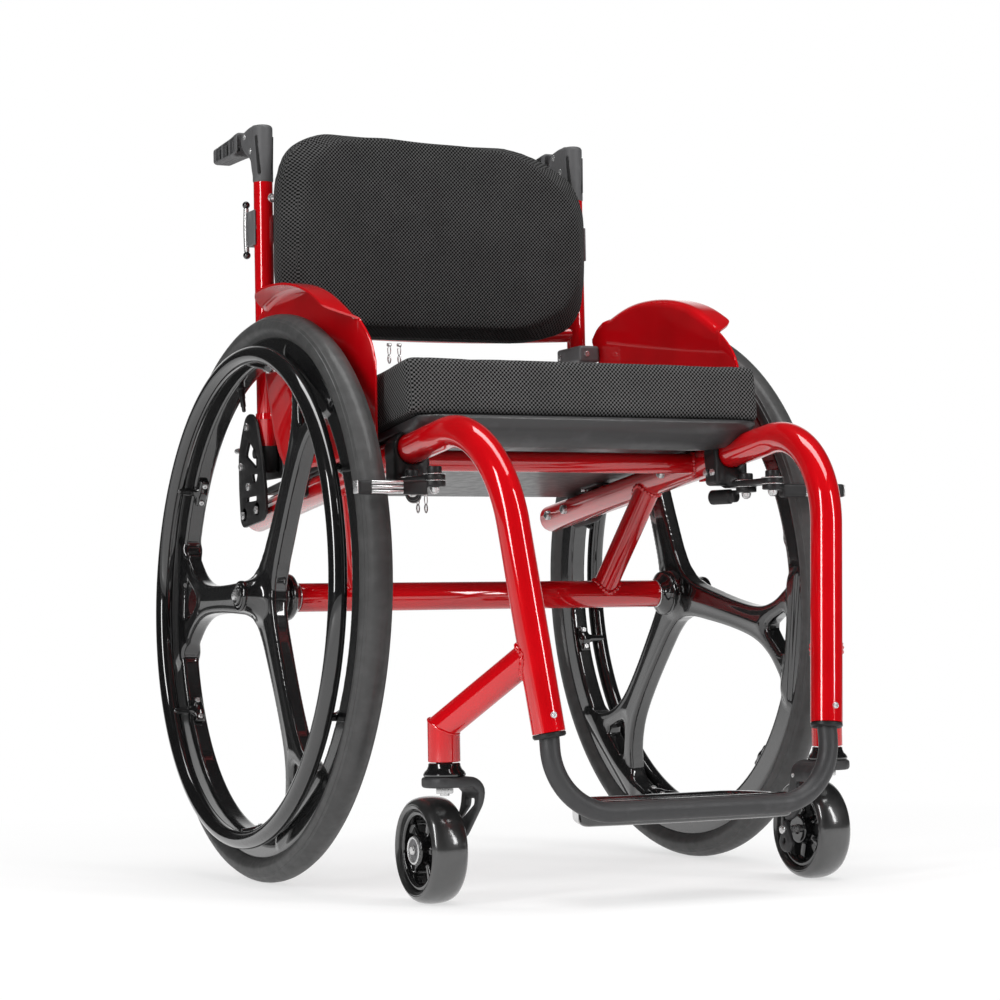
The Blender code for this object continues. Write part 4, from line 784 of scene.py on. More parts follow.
def hexagon(radius, count):
    points = []
    for i in range(count):
        angle = math.tau * i / count
        reach = radius * math.cos(math.pi / 6) / math.cos((angle + math.pi / 6) % (math.pi / 3) - math.pi / 6)
        points.append((reach * math.cos(angle), reach * math.sin(angle)))
    return points


def hex_head(radius, height):
    """A six-sided bolt head or nut, standing on Z."""
    mesh = plate(hexagon(radius, 6), height, height * 0.12)
    mesh.transform(at(0, 0, height / 2))
    return mesh


def rod(start, end, radius, edge=0.0005):
    """A round bar with eased ends."""
    start, end = Vector(start), Vector(end)
    along = (end - start).normalized() * edge
    points = [start, start + along * 0.3, start + along, end - along, end - along * 0.3, end]
    radii = [radius - edge, radius - edge * 0.3, radius]
    return tube(points, radii + radii[::-1], 32)


def set_screws(name, places, radius=0.0032, height=0.0018, body="chair"):
    """One piece of like screw heads, each given as its place and the way it faces."""
    head = screw(radius, height)
    heads = [(head, frame_on(place, way, (0.3, 0.2, 0.9))) for place, way in places]
    piece(name, grown(heads), "steel", body)


# Frame

def make_side_frame(name, side):
    rear = seat_tube_point(side, SEAT_TUBE_REAR.y)
    dome = [(0.0045, 0.35), (0.004, 0.62), (0.0028, 0.84), (0.0014, 0.95)]
    corners = [rear, leg_point(side, FRONT_CORNER.z), leg_point(side, LEG_FOOT.z)]
    bent = filleted(corners, FRONT_BEND_RADIUS, 36)
    points = [rear + Vector((0, back, 0)) for back, _ in dome] + bent
    radii = [MAIN_TUBE_RADIUS * share for _, share in dome] + [MAIN_TUBE_RADIUS] * len(bent)
    piece(f"side_tube_{name}", tube(points, radii, 64), "red", "chair", replaces=f"side_frame_{name}")
    place = leg_point(side, LEG_SCREW_Z) - Vector((0, MAIN_TUBE_RADIUS, 0))
    set_screws(f"leg_screw_{name}", [(place, (0, -1, 0.1))])
    screws = [(seat_tube_point(side, y) - Vector((side * MAIN_TUBE_RADIUS, 0, 0)), (-side, 0, 0))
              for y in FRAME_SCREWS_Y]
    set_screws(f"frame_screws_{name}", screws, 0.0054, 0.0052)


def weld(name, far, toward, radius, line, line_radius, size=0.0026):
    """A rippled bead where a tube meets another one's side."""
    far, toward = Vector(far), Vector(toward)
    along, axis = (toward - far).normalized(), (Vector(line[1]) - Vector(line[0])).normalized()
    ways = spread(along, 96)
    points = []
    for way in ways + ways[:1]:
        start = far + way * radius
        off, pace = start - Vector(line[0]), along - axis * axis.dot(along)
        off -= axis * axis.dot(off)
        half, whole = off.dot(pace), pace.length_squared
        root = max(half * half - whole * (off.length_squared - line_radius ** 2), 0)
        points.append(start + along * (-half - math.sqrt(root)) / whole)
    radii = [size * (1 + 0.2 * math.sin(math.tau * i / 4)) for i in range(len(points))]
    piece(name, tube(points, radii, 12), "red", "chair")


def mitred(mesh, place, normal):
    """A tube cut square to a normal, keeping the side that the normal points away from."""
    bm = bmesh.new()
    bm.from_mesh(mesh)
    geometry = bm.verts[:] + bm.edges[:] + bm.faces[:]
    cut = bmesh.ops.bisect_plane(bm, geom=geometry, plane_co=place, plane_no=normal, clear_outer=True)
    bmesh.ops.holes_fill(bm, edges=[item for item in cut["geom_cut"] if isinstance(item, bmesh.types.BMEdge)])
    return to_mesh(bm)


def make_caster_mount(name, side):
    elbow = Vector((side * CASTER_X, CASTER_Y, ELBOW_Z))
    leg = leg_point(side, STRUT_LEG_Z)
    along = (leg - elbow).normalized()
    mitre = (along + Vector((0, 0, 1))).normalized()
    foot = Vector((elbow.x, elbow.y, BARREL_FOOT_Z))
    barrel = tube([foot, foot + Vector((0, 0, 0.0006)), elbow + Vector((0, 0, 0.03))],
                  [BARREL_RADIUS - 0.0006, BARREL_RADIUS, BARREL_RADIUS], 48)
    piece(f"barrel_{name}", mitred(barrel, elbow, mitre), "red", "chair", replaces=f"caster_barrel_{name}")
    strut = tube([elbow - along * 0.03, leg], STRUT_RADIUS, 48)
    piece(f"strut_{name}", mitred(strut, elbow, -mitre), "red", "chair", replaces=f"caster_strut_{name}")
    ways = spread(along, 64)
    starts = [way * (STRUT_RADIUS + 0.0002) for way in ways + ways[:1]]
    seam = [elbow + start - along * start.dot(mitre) / along.dot(mitre) for start in starts]
    piece(f"mitre_weld_{name}", tube(seam, 0.0013, 10), "red", "chair")
    line = [leg_point(side, STRUT_LEG_Z + 0.06), leg_point(side, STRUT_LEG_Z - 0.06)]
    weld(f"strut_weld_{name}", elbow, leg, STRUT_RADIUS, line, MAIN_TUBE_RADIUS)


def make_bushing(name, side):
    foot = leg_point(side, LEG_FOOT.z)
    down = (foot - leg_point(side, FRONT_CORNER.z)).normalized()
    outer, bore = MAIN_TUBE_RADIUS, FOOT_TUBE_RADIUS + 0.0009
    ring = [(bore, 0.0003), (outer - 0.0008, 0.0003), (outer, 0.001), (outer, 0.0034),
            (outer - 0.0014, 0.005), (bore + 0.0006, 0.0052), (bore, 0.0046)]
    piece(f"leg_ring_{name}", lathe(ring), "satin", "chair", frame_on(foot, down), f"leg_bushing_{name}")


def make_tubes():
    end = AXLE.x - HUB_REACH - 0.0015
    height = AXLE_Z - (HUB_REACH + 0.0015) * math.tan(CAMBER)
    axle_line = [Vector((-end, 0, height)), Vector((end, 0, height))]
    camber_tube = rod(*axle_line, CAMBER_TUBE_RADIUS, 0.001)
    piece("camber_tube_fine", camber_tube, "red", "chair", replaces="camber_tube")
    bar = [seat_tube_point(s, CROSSBAR_Y) for s in (-1, 1)]
    piece("crossbar_fine", tube(bar, CROSSBAR_RADIUS), "red", "chair", replaces="front_crossbar")
    for name, side in SIDES.items():
        make_side_frame(name, side)
        foot = Vector((side * RISER_FOOT_X, 0, height))
        top = seat_tube_point(side, RISER_TOP_Y)
        piece(f"riser_{name}_fine", tube([foot, top], RISER_RADIUS), "red", "chair", replaces=f"riser_{name}")
        seat_line = [seat_tube_point(side, 0.1), seat_tube_point(side, -0.3)]
        weld(f"riser_foot_weld_{name}", top, foot, RISER_RADIUS, axle_line, CAMBER_TUBE_RADIUS + 0.0001)
        weld(f"riser_top_weld_{name}", foot, top, RISER_RADIUS, seat_line, MAIN_TUBE_RADIUS)
        weld(f"crossbar_weld_{name}", *bar[::side], CROSSBAR_RADIUS, seat_line, MAIN_TUBE_RADIUS, 0.0017)
        make_caster_mount(name, side)
        make_bushing(name, side)


# Side guards and hinge plates

def guard_top():
    """The guard's upper edge from rear to front, as Y and Z."""
    points = []
    for degrees, clearance in GUARD_ROUND_TYRE:
        angle, reach = math.radians(degrees), TYRE_RADIUS + clearance
        points.append((reach * math.cos(angle), AXLE_Z + reach * math.sin(angle)))
    return eased(points)


def guard_foot():
    """Its lower edge from front to rear, with an ear down to each boss."""
    front = guard_top()[-1][0]
    line = [(front, seat_tube_point(1, front).z - 0.004), (front + 0.014, 0.444)]
    for y in GUARD_EARS:
        low = seat_tube_point(1, y).z - 0.012
        line += [(y - 0.013, 0.4425), (y - 0.011, low), (y + 0.011, low), (y + 0.013, 0.4435)]
    return line + [(0.04, 0.4465), (0.06, 0.465), (0.073, 0.487), (0.085, 0.52), (0.098, 0.56),
                   (guard_top()[0][0], 0.608)]


def make_guard(name, side):
    """One sheet: a flat panel that curls outward over the tyre along its top."""
    top, foot = guard_top()[::-1], guard_foot()
    (top_y, top_z), (foot_y, foot_z) = zip(*top), zip(*foot)
    rows, curl, columns = 26, 0.009, 110
    bm = bmesh.new()
    grid = []
    for i in range(columns + 1):
        share = 0.5 - 0.5 * math.cos(math.pi * i / columns)
        y = top_y[0] + (top_y[-1] - top_y[0]) * share
        high, low = np.interp(y, top_y, top_z), np.interp(y, foot_y, foot_z)
        reach = GUARD_LIP_REACH
        for start, full in zip(GUARD_LIP_INNER, GUARD_LIP_OUTER):
            reach *= math.sin(math.pi / 2 * min(max((y - start) / (full - start), 0), 1))
        bend = min(curl, reach * 0.8) + 1e-5
        column = []
        for k in range(rows):
            if k < 10:
                x, z = 0, low + (high - bend - low) * k / 9
            elif k < 20:
                angle = math.pi / 2 * (k - 9) / 10
                x, z = bend * (1 - math.cos(angle)), high - bend + bend * math.sin(angle)
            else:
                x, z = bend + (reach - bend) * (k - 19) / (rows - 20), high
            column.append(bm.verts.new((side * (GUARD_X + x), y, z)))
        grid.append(column)
    for first, second in zip(grid, grid[1:]):
        for k in range(rows - 1):
            bm.faces.new((first[k], first[k + 1], second[k + 1], second[k])[::side])
    bmesh.ops.remove_doubles(bm, verts=bm.verts, dist=2e-5)
    bmesh.ops.recalc_face_normals(bm, faces=bm.faces)
    guard = piece(f"guard_{name}", to_mesh(bm), "red", "chair", replaces=f"side_guard_{name}")
    as_sheet(guard, GUARD_THICKNESS, 0.0007)
    inner = seat_tube_face(0)[0]
    bosses, screws = [], []
    for y in GUARD_EARS:
        z = seat_tube_face(y)[1]
        bosses.append(rod((side * inner, y, z), (side * GUARD_X, y, z), BOSS_RADIUS))
        screws.append(((side * (GUARD_X + GUARD_THICKNESS / 2), y, z), (side, 0, 0)))
    piece(f"guard_bosses_{name}", grown(bosses), "satin", "chair")
    set_screws(f"guard_screws_{name}", screws, 0.0045, 0.0022)


def make_hinge_plate(name, side):
    outline = [(-0.004, 0.038), (0.01, 0.047), (0.026, 0.044), (0.037, 0.028), (0.05, 0.002), (0.05, -0.04),
               (0.046, -0.076), (0.038, -0.083), (-0.022, -0.077), (-0.033, -0.066),
               (-0.031, -0.04), (-0.024, -0.012)]
    slot = [(-0.005, -0.0535), (0.026, -0.054), (0.026, -0.0485), (-0.005, -0.048)]
    window = [(0.0173, 0.016), (0.0285, -0.001), (-0.0068, -0.018), (-0.014, -0.0082)]
    notch = [(-0.01, -0.024), (0.009, -0.023), (0.004, -0.034), (-0.004, -0.033)]
    holes = [rounded(slot, 0.0024), rounded(window, 0.004), rounded(notch, 0.0035)]
    mesh = plate(rounded(outline, 0.009), 0.004, 0.0009, holes)
    place = at(side * HINGE_PLATE_X, CANE_Y, BACK_PIVOT_Z) @ SIDE_PLANE
    piece(f"hinge_side_{name}", mesh, "satin", "chair", place, f"hinge_plate_{name}")
    outer, inner = HINGE_PLATE_X + 0.002, seat_tube_face(0.15)[0]
    bosses = []
    for y in HINGE_BOSSES_Y:
        z = seat_tube_face(y)[1]
        bosses.append(rod((side * inner, y, z), (side * outer, y, z), BOSS_RADIUS))
    bosses.append(rod((side * 0.186, CANE_Y, BACK_PIVOT_Z), (side * outer, CANE_Y, BACK_PIVOT_Z), 0.006))
    piece(f"hinge_bosses_{name}", grown(bosses), "satin", "chair")
    bolts = [((side * outer, y, z), (side, 0, 0)) for y, z in HINGE_BOLTS]
    set_screws(f"hinge_bolts_{name}", bolts, 0.0046, 0.0024)
    back = [(-0.018, -0.028), (-0.02, 0.01), (-0.006, 0.034), (0.01, 0.04), (0.03, 0.03),
            (0.046, -0.004), (0.044, -0.028)]
    piece(f"hinge_inner_{name}", plate(rounded(back, 0.006), 0.003, 0.0008), "satin", "chair",
          at(side * 0.1862, CANE_Y, BACK_PIVOT_Z) @ SIDE_PLANE)
    stop = [(side * 0.212, y, HINGE_STOP_Z) for y in (0.1945, 0.204)]
    piece(f"hinge_stop_{name}", rod(*stop, 0.0032), "steel", "chair")


# Rear wheels

def spoke_edge():
    """A spoke's half width, from the web between two spokes out to the rim."""
    rim = RIM_INNER_RADIUS
    return eased([(0.0165, 0.0286), (0.025, 0.0242), (0.04, 0.0205), (0.062, 0.018), (0.13, 0.0155),
                  (rim - 0.072, 0.0185), (rim - 0.04, 0.03), (rim - 0.016, 0.049), (rim + 0.006, 0.069)])


def spoke_pocket():
    """The opening between the two legs of a spoke's fork."""
    rim = RIM_INNER_RADIUS
    return mirrored([(rim - 0.045, 0.002), (rim - 0.036, 0.0095),
                     (rim - 0.017, 0.0205), (rim - 0.0105, 0.018)])


def wheel_body():
    """Rim, three forked spokes with a crest, and hub, in one moulding."""
    edge, pocket = spoke_edge(), spoke_pocket()
    edge_u, edge_v = zip(*edge)
    third = math.tau / 3
    hub = [(0, HUB_REACH), (0.0145, HUB_REACH), (0.016, HUB_REACH - 0.006), (0.0195, 0.014), (0.0225, 0.005),
           (0.0225, -0.006), (0.019, -0.013), (0.019, -0.017), (0.025, -0.0195), (0.024, -0.024),
           (0.0185, -0.0285), (0.015, -0.032), (0, -0.032)]

    def field(p):
        x, y, z = p.T
        radius = np.hypot(x, y)
        turn = np.arctan2(y, x)
        turn -= np.round(turn / third) * third
        u, v = radius * np.cos(turn), np.abs(radius * np.sin(turn))
        near = nearest(u, v, edge)
        flat = np.maximum(np.where(v < np.interp(u, edge_u, edge_v), -near, near),
                          0.002 - within(u, v, pocket))
        flat = np.maximum(flat, u - RIM_INNER_RADIUS - 0.006)
        half_thick = -blended(0.3 * flat - 0.0052, np.full(len(flat), -0.0095), 0.003)
        spoke = common(flat, np.abs(z) - half_thick, 0.004)
        depth = (TYRE_BED_RADIUS - RIM_INNER_RADIUS) / 2
        rim = slab(np.abs(radius - RIM_INNER_RADIUS - depth) - depth, z, RIM_WIDTH / 2, 0.0035)
        barrel = within(radius, z, hub) - 0.001
        return np.maximum(blended(blended(rim, spoke, 0.012), barrel, 0.011), AXLE_BORE - radius)

    wide = TYRE_BED_RADIUS + 0.003
    return solid(field, (-wide, -wide, -0.036), (wide, wide, 0.036), 0.0024)


def make_tyre(name, side):
    bed, half, bead = TYRE_BED_RADIUS, TYRE_WIDTH / 2, RIM_WIDTH / 2
    upper = moved(bed, bead, [(-0.001, -0.001), (0.001, 0.001)])
    upper += moved(bed, half, [(0.005, -0.0012), (0.009, 0), (0.013, -0.0002), (0.0165, -0.0018),
                               (0.0168, -0.0026), (0.0195, -0.0042), (0.0198, -0.005)])
    tread = ((0.003, 0.56), (0.0012, 0.38), (0.0003, 0.2))
    upper += [(TYRE_RADIUS - drop, half * share) for drop, share in tread]
    profile = mirrored(upper, [(TYRE_RADIUS, 0)])
    piece(f"tyre_{name}_fine", lathe(profile, WHEEL_STEPS), "tyre", f"rear_wheel_{name}", wheel_frame(side),
          f"tyre_{name}")


def tab_shape():
    """One of the push ring's tabs: X runs outboard, Y round the rim and Z inward."""
    def field(p):
        foot = rounded_box(p, (0, 0, 0.0002), (0.0058, 0.016, 0.0032), 0.0025)
        arm = capsule(p, (0, 0, 0), (HANDRIM_OFFSET - 0.002, 0, -0.004), 0.0048, 0.004)
        return blended(foot, arm, 0.006)

    return solid(field, (-0.008, -0.018, -0.01), (0.034, 0.018, 0.008), 0.0012)


def make_handrim(name, side):
    ring = moved(HANDRIM_RADIUS, HANDRIM_OFFSET, circle(HANDRIM_TUBE_RADIUS, 24))
    wheel, body = wheel_frame(side), f"rear_wheel_{name}"
    stand = Matrix(((0, 0, -1, RIM_INNER_RADIUS - 0.0036), (0, 1, 0, 0), (1, 0, 0, 0), (0, 0, 0, 1)))
    tab, head = tab_shape(), screw(0.003, 0.0018)
    tabs, screws = [lathe(ring, WHEEL_STEPS)], []
    for i in range(HANDRIM_TABS):
        turn = Matrix.Rotation(wheel_angle(side, TAB_PHASE[name] + 360 * i / HANDRIM_TABS), 4, "Z") @ stand
        tabs.append((tab, turn))
        screws += [(head, turn @ at(0, along, 0.0033)) for along in (-0.0105, 0.0105)]
    piece(f"push_ring_{name}", grown(tabs), "gloss", body, wheel, f"handrim_{name}")
    piece(f"tab_screws_{name}", grown(screws), "steel", body, wheel)


def make_hub_parts(name, side):
    """The cap ring round the quick release, its head, and the ribbed bearing seat inboard."""
    wheel, body = wheel_frame(side), f"rear_wheel_{name}"
    ring = [(0.01, -0.002), (0.01, 0.003), (0.0112, 0.0036), (0.0124, 0.003), (0.0128, 0.002),
            (0.0136, 0.002), (0.014, 0.0028), (0.0152, 0.0028), (0.0163, 0.0018),
            (0.0168, 0.0003), (0.0168, -0.002)]
    piece(f"hub_cap_{name}", lathe(moved(0, HUB_REACH, ring), 64), "gloss", body, wheel)
    head = [(0, -0.0035), (0.0047, -0.0035), (0.0047, 0.0055), (0.0052, 0.006), (0.0078, 0.0063),
            (0.009, 0.0055), (0.0095, 0.004), (0.0095, 0.0003), (0.0065, 0), (0.0065, -0.102), (0, -0.102)]
    piece(f"quick_release_{name}", lathe(moved(0, HUB_REACH, head)), "chrome",
          "chair", wheel, f"axle_pin_{name}")
    button = [(0, 0.0095), (0.003, 0.0093), (0.0042, 0.0086), (0.0045, 0.0075), (0.0045, 0.003), (0, 0.003)]
    pressed = f"axle_button_{name}"
    piece(f"release_button_{name}", lathe(moved(0, HUB_REACH, button), 32), "steel", pressed, wheel, pressed)
    seat = [(0.0136, -0.0315), (0.0158, -0.0315), (0.0158, -0.0328), (0.015, -0.0334), (0.0136, -0.0334)]
    piece(f"bearing_seat_{name}", lathe(seat), "steel", body, wheel)


def make_valve(name, side):
    stem = [(0, 0.03), (0.0018, 0.03), (0.0022, 0.029), (0.0022, 0.024), (0.003, 0.0235), (0.003, 0.014),
            (0.0036, 0.0135), (0.0036, 0.004), (0.005, 0.003), (0.005, 0), (0, 0)]
    turn = Matrix.Rotation(wheel_angle(side, VALVE_PHASE[name]), 4, "Z")
    foot = wheel_frame(side) @ turn @ at(RIM_INNER_RADIUS + 0.002, 0, 0)
    inward = Matrix.Rotation(-math.pi / 2, 4, "Y")
    piece(f"valve_{name}", lathe(stem, 24), "satin", f"rear_wheel_{name}", foot @ inward)


def make_rear_wheels():
    body = wheel_body()
    for name, side in SIDES.items():
        turned = body.copy()
        turned.transform(Matrix.Rotation(wheel_angle(side, SPOKE_PHASE[name]), 4, "Z"))
        wheel = wheel_frame(side)
        piece(f"wheel_body_{name}", turned, "carbon", f"rear_wheel_{name}", wheel, f"wheel_{name}")
        make_tyre(name, side)
        make_handrim(name, side)
        make_hub_parts(name, side)
        make_valve(name, side)


# Casters

def fork_shape():
    """The plate and single arm of the left fork: what three outlines have in common."""
    inside = CASTER_X - CASTER_WIDTH / 2 - FORK_GAP
    face, low, outer = inside - FORK_ARM, FORK_TOP_Z - FORK_PLATE, CASTER_X + 0.0225
    axle_y, bend = CASTER_Y + CASTER_TRAIL, 0.016
    front = [(outer, FORK_TOP_Z), (outer, low), (inside + 0.006, low), (inside, low - 0.006),
             (inside, 0.02), (face, 0.02)]
    front += arc(face + bend, FORK_TOP_Z - bend, bend, 180, 90, 7)
    rear, fore = CASTER_Y + 0.0215, CASTER_Y - 0.0215
    profile = arc(axle_y, CASTER_RADIUS - 0.0125, 0.0115, 180, 360, 10)
    profile += rounded([(axle_y + 0.0115, CASTER_RADIUS + 0.012), (rear + 0.003, 0.095), (rear, 0.108),
                        (rear, 0.14), (fore, 0.14), (fore, 0.1), (axle_y - 0.0115, CASTER_RADIUS + 0.008)],
                       0.012)
    window = rounded([(rear - 0.012, 0.102), (fore + 0.014, 0.102), (fore + 0.015, 0.097),
                      (axle_y - 0.0015, 0.076), (axle_y + 0.001, 0.077), (rear - 0.011, 0.094)], 0.005)
    plan = arc(CASTER_X, CASTER_Y, 0.0225, 75, -75, 15)
    plan += [(inside + 0.004, fore - 0.01), (face - 0.01, fore - 0.01), (face - 0.01, axle_y + 0.02),
             (inside + 0.004, axle_y + 0.02)]

    def field(p):
        x, y, z = p.T
        body = common(common(within(x, z, front), within(y, z, profile), 0.004), within(x, y, plan), 0.004)
        body = common(body, -within(y, z, window), 0.003)
        for step in (-0.0115, 0.0115):
            body = np.maximum(body, 0.0027 - np.hypot(y - axle_y, z - CASTER_RADIUS - step))
        return body

    return solid(field, (face - 0.003, fore - 0.003, 0.026), (outer + 0.003, axle_y + 0.016, 0.128), 0.0014)


def hub_shape():
    """A caster's hub: a rim under the tyre and thin dished spokes out from the bearing seat."""
    half, bed = CASTER_WIDTH / 2, CASTER_BED_RADIUS
    step = math.tau / CASTER_WINDOWS

    def field(p):
        x, y, z = p.T
        radius, turn = np.hypot(x, y), np.arctan2(y, x)
        turn = turn - np.round(turn / step) * step
        rim = slab(np.abs(radius - bed + 0.003) - 0.003, z, half * 0.78, 0.0015)
        off = np.abs(radius * np.sin(turn))
        web = np.maximum(radius - bed + 0.001, off - 0.0036 - 0.003 * (radius / bed) ** 3)
        spoke = slab(web, z, 0.0075, 0.002)
        seat = slab(radius - 0.015, z, half - 0.0012, 0.0015)
        return np.maximum(blended(blended(rim, spoke, 0.004), seat, 0.003), 0.0041 - radius)

    wide = bed + 0.002
    return solid(field, (-wide, -wide, -half - 0.002), (wide, wide, half + 0.002), 0.0014)


def make_casters():
    fork, hub = fork_shape(), hub_shape()
    half, bed = CASTER_WIDTH / 2, CASTER_BED_RADIUS
    arm_face = -half - FORK_GAP - FORK_ARM
    wall = ((0, 0.8), (0.0008, 0.93), (0.0022, 0.98), (0.0036, 1), (0.0043, 0.98), (0.005, 1), (0.0068, 0.96))
    tread = ((0.0035, 0.86), (0.0018, 0.7), (0.0006, 0.46), (0.0001, 0.2))
    upper = [(bed + rise, half * share) for rise, share in wall]
    upper += [(CASTER_RADIUS - drop, half * share) for drop, share in tread]
    tyre = mirrored(upper, [(CASTER_RADIUS, 0)])
    top, boot_top = BARREL_FOOT_Z + 0.03, BARREL_FOOT_Z - 0.0008
    boot = [(0, top), (0.008, top)]
    boot += moved(0, boot_top, [(0.008, 0), (0.0145, 0), (0.0155, -0.0008), (0.0157, -0.003),
                                (0.017, -0.006), (0.0195, -0.0085)])
    boot += moved(0, FORK_TOP_Z, [(0.0207, 0.0022), (0.0204, 0.0006), (0.0195, 0.0003),
                                  (0.0075, -0.002), (0, -0.002)])
    race = [(0.011, -0.001), (0.0112, 0.0006), (0.0118, 0.0011), (0.013, 0.0011), (0.0136, 0.0006),
            (0.0138, -0.001), (0.0138, -0.004), (0.011, -0.004)]
    shield = [(0.005, -0.0004), (0.0066, -0.0004), (0.007, -0.001), (0.0111, -0.001), (0.0111, -0.003),
              (0.005, -0.003)]
    bolt = moved(0, half, [(0, 0.003), (0.0036, 0.0028), (0.0044, 0.0016), (0.0044, 0), (0.004, 0)])
    bolt += moved(0, arm_face, [(0.004, -0.0003), (0.0046, -0.0003), (0.0048, -0.001), (0.0044, -0.0026),
                                (0.003, -0.003), (0, -0.003)])
    low = FORK_TOP_Z - FORK_PLATE
    nut = grown([(hex_head(0.0105, 0.0058), at(0, 0, low - 0.0058)),
                 rod((0, 0, low - 0.008), (0, 0, low), 0.0045)])
    for name, side in SIDES.items():
        swivel, wheel, axle = f"caster_swivel_{name}", f"caster_wheel_{name}", caster_frame(side)
        post = at(side * CASTER_X, CASTER_Y, 0)
        piece(f"caster_ring_{name}", lathe(tyre, 96), "caster", wheel, axle, f"caster_tyre_{name}")
        piece(f"hub_{name}", hub.copy(), "gloss", wheel, axle, f"caster_hub_{name}")
        piece(f"caster_race_{name}", lathe(moved(0, half, race)), "steel", wheel, axle)
        piece(f"caster_shield_{name}", lathe(moved(0, half, shield)), "latch", wheel, axle)
        piece(f"caster_bolt_{name}", lathe(bolt, 32), "steel", swivel, axle, f"caster_axle_{name}")
        piece(f"fork_{name}", sided(fork, side), "foot", swivel, replaces=f"caster_fork_{name}")
        piece(f"boot_{name}", lathe(boot), "gloss", swivel, post, f"caster_stem_{name}")
        piece(f"swivel_nut_{name}", nut.copy(), "steel", swivel, post)
        pin = (side * (CASTER_X + arm_face), CASTER_Y + 0.013, 0.1085)
        set_screws(f"fork_pin_{name}", [(pin, (-side, 0, 0))], 0.0022, 0.0012, swivel)


# Footrest

def foot_slide():
    """The way the tube slides down out of the legs, and how far it reaches."""
    down = (leg_point(1, LEG_FOOT.z) - leg_point(1, FRONT_CORNER.z)).normalized()
    slide = Vector((0, down.y, down.z)).normalized()
    return slide, (FOOT_TUBE_Z - LEG_FOOT.z) / slide.z


def make_footrest():
    slide, drop = foot_slide()
    corners = []
    for side in (1, -1):
        foot = Vector((side * LEG_FOOT.x, LEG_FOOT.y, LEG_FOOT.z))
        pair = [foot - slide * FOOT_STUB, foot + slide * drop]
        corners += pair if side > 0 else pair[::-1]
    path = filleted(corners, FOOT_BEND_RADIUS, 24)
    piece("footrest_tube_fine", tube(path, FOOT_TUBE_RADIUS), "foot", "footrest", replaces="footrest_tube")

    front = (LEG_FOOT + slide * drop).y + FOOT_TUBE_RADIUS + GAP
    wide, narrow, length = FOOTPLATE_WIDTHS[0] / 2, FOOTPLATE_WIDTHS[1] / 2, FOOTPLATE_LENGTH
    half = [(wide - 0.006, 0), (wide, 0.01), (narrow + 0.012, length - 0.022),
            (narrow + 0.002, length - 0.005), (narrow - 0.012, length)]
    inner = [(wide - 0.02, 0.012), (narrow - 0.004, length - 0.016)]
    outline, trough = (rounded(one + [(-x, y) for x, y in reversed(one)], 0.012) for one in (half, inner))
    thick = FOOTPLATE_HEIGHT / 2

    def field(p):
        x, y, z = p.T
        body = slab(within(x, y, outline), z + 0.0008 * np.cos(x * 12), thick, 0.007)
        hollow = slab(within(x, y, trough), z - thick - 0.004, 0.007, 0.003)
        under = slab(within(x, y, trough), z + thick + 0.004, 0.0075, 0.003)
        return common(common(body, -hollow, 0.003), -under, 0.003)

    low, high = (-wide - 0.004, -0.004, -thick - 0.004), (wide + 0.004, length + 0.004, thick + 0.004)
    piece("footplate_fine", solid(field, low, high, 0.0025), "gloss", "footrest",
          at(0, front, FOOT_TUBE_Z - 0.0015), "footplate")


# Brakes

def mount_shape():
    """The left clamp round the seat tube and the plate that carries the two pivots."""
    place, low = seat_tube_point(1, BRAKE_MOUNT_Y), BRAKE_PLATE_Z - 0.0006
    top = place.z + MAIN_TUBE_RADIUS * 0.65
    rear, fore = np.array(seat_tube_point(1, 0)), np.array(seat_tube_point(1, -0.3))
    slope = (fore - rear) / np.linalg.norm(fore - rear)
    outline = [(LEVER_PIVOT[0] - 0.011, BRAKE_MOUNT_Y), (LEVER_PIVOT[0] + 0.011, BRAKE_MOUNT_Y)]
    outline += arc(*BAR_PIVOT, 0.011, 0, -180, 12)
    web_start = (place.x, place.y - 0.01, BRAKE_PLATE_Z + 0.01)
    web_end = (LEVER_PIVOT[0], LEVER_PIVOT[1] + 0.006, BRAKE_PLATE_Z + 0.002)

    def field(p):
        x, y, z = p.T
        clamp = rounded_box(p, (place.x, place.y, (top + low) / 2), (0.02, 0.0135, (top - low) / 2), 0.005)
        off = p - rear
        off = off - (off @ slope)[:, None] * slope
        sleeve = np.maximum(np.linalg.norm(off, axis=1) - MAIN_TUBE_RADIUS - 0.0035,
                            np.abs(y - place.y) - 0.012)
        arm = slab(within(x, y, outline), z - BRAKE_PLATE_Z, 0.003, 0.0014)
        web = capsule(p, web_start, web_end, 0.008, 0.004)
        body = blended(blended(clamp, sleeve, 0.003), blended(arm, web, 0.004), 0.006)
        return np.maximum(body, MAIN_TUBE_RADIUS + GAP - np.linalg.norm(off, axis=1))

    start = (0.16, BAR_PIVOT[1] - 0.014, low - 0.004)
    return solid(field, start, (0.222, BRAKE_MOUNT_Y + 0.018, top + 0.01), 0.0014)


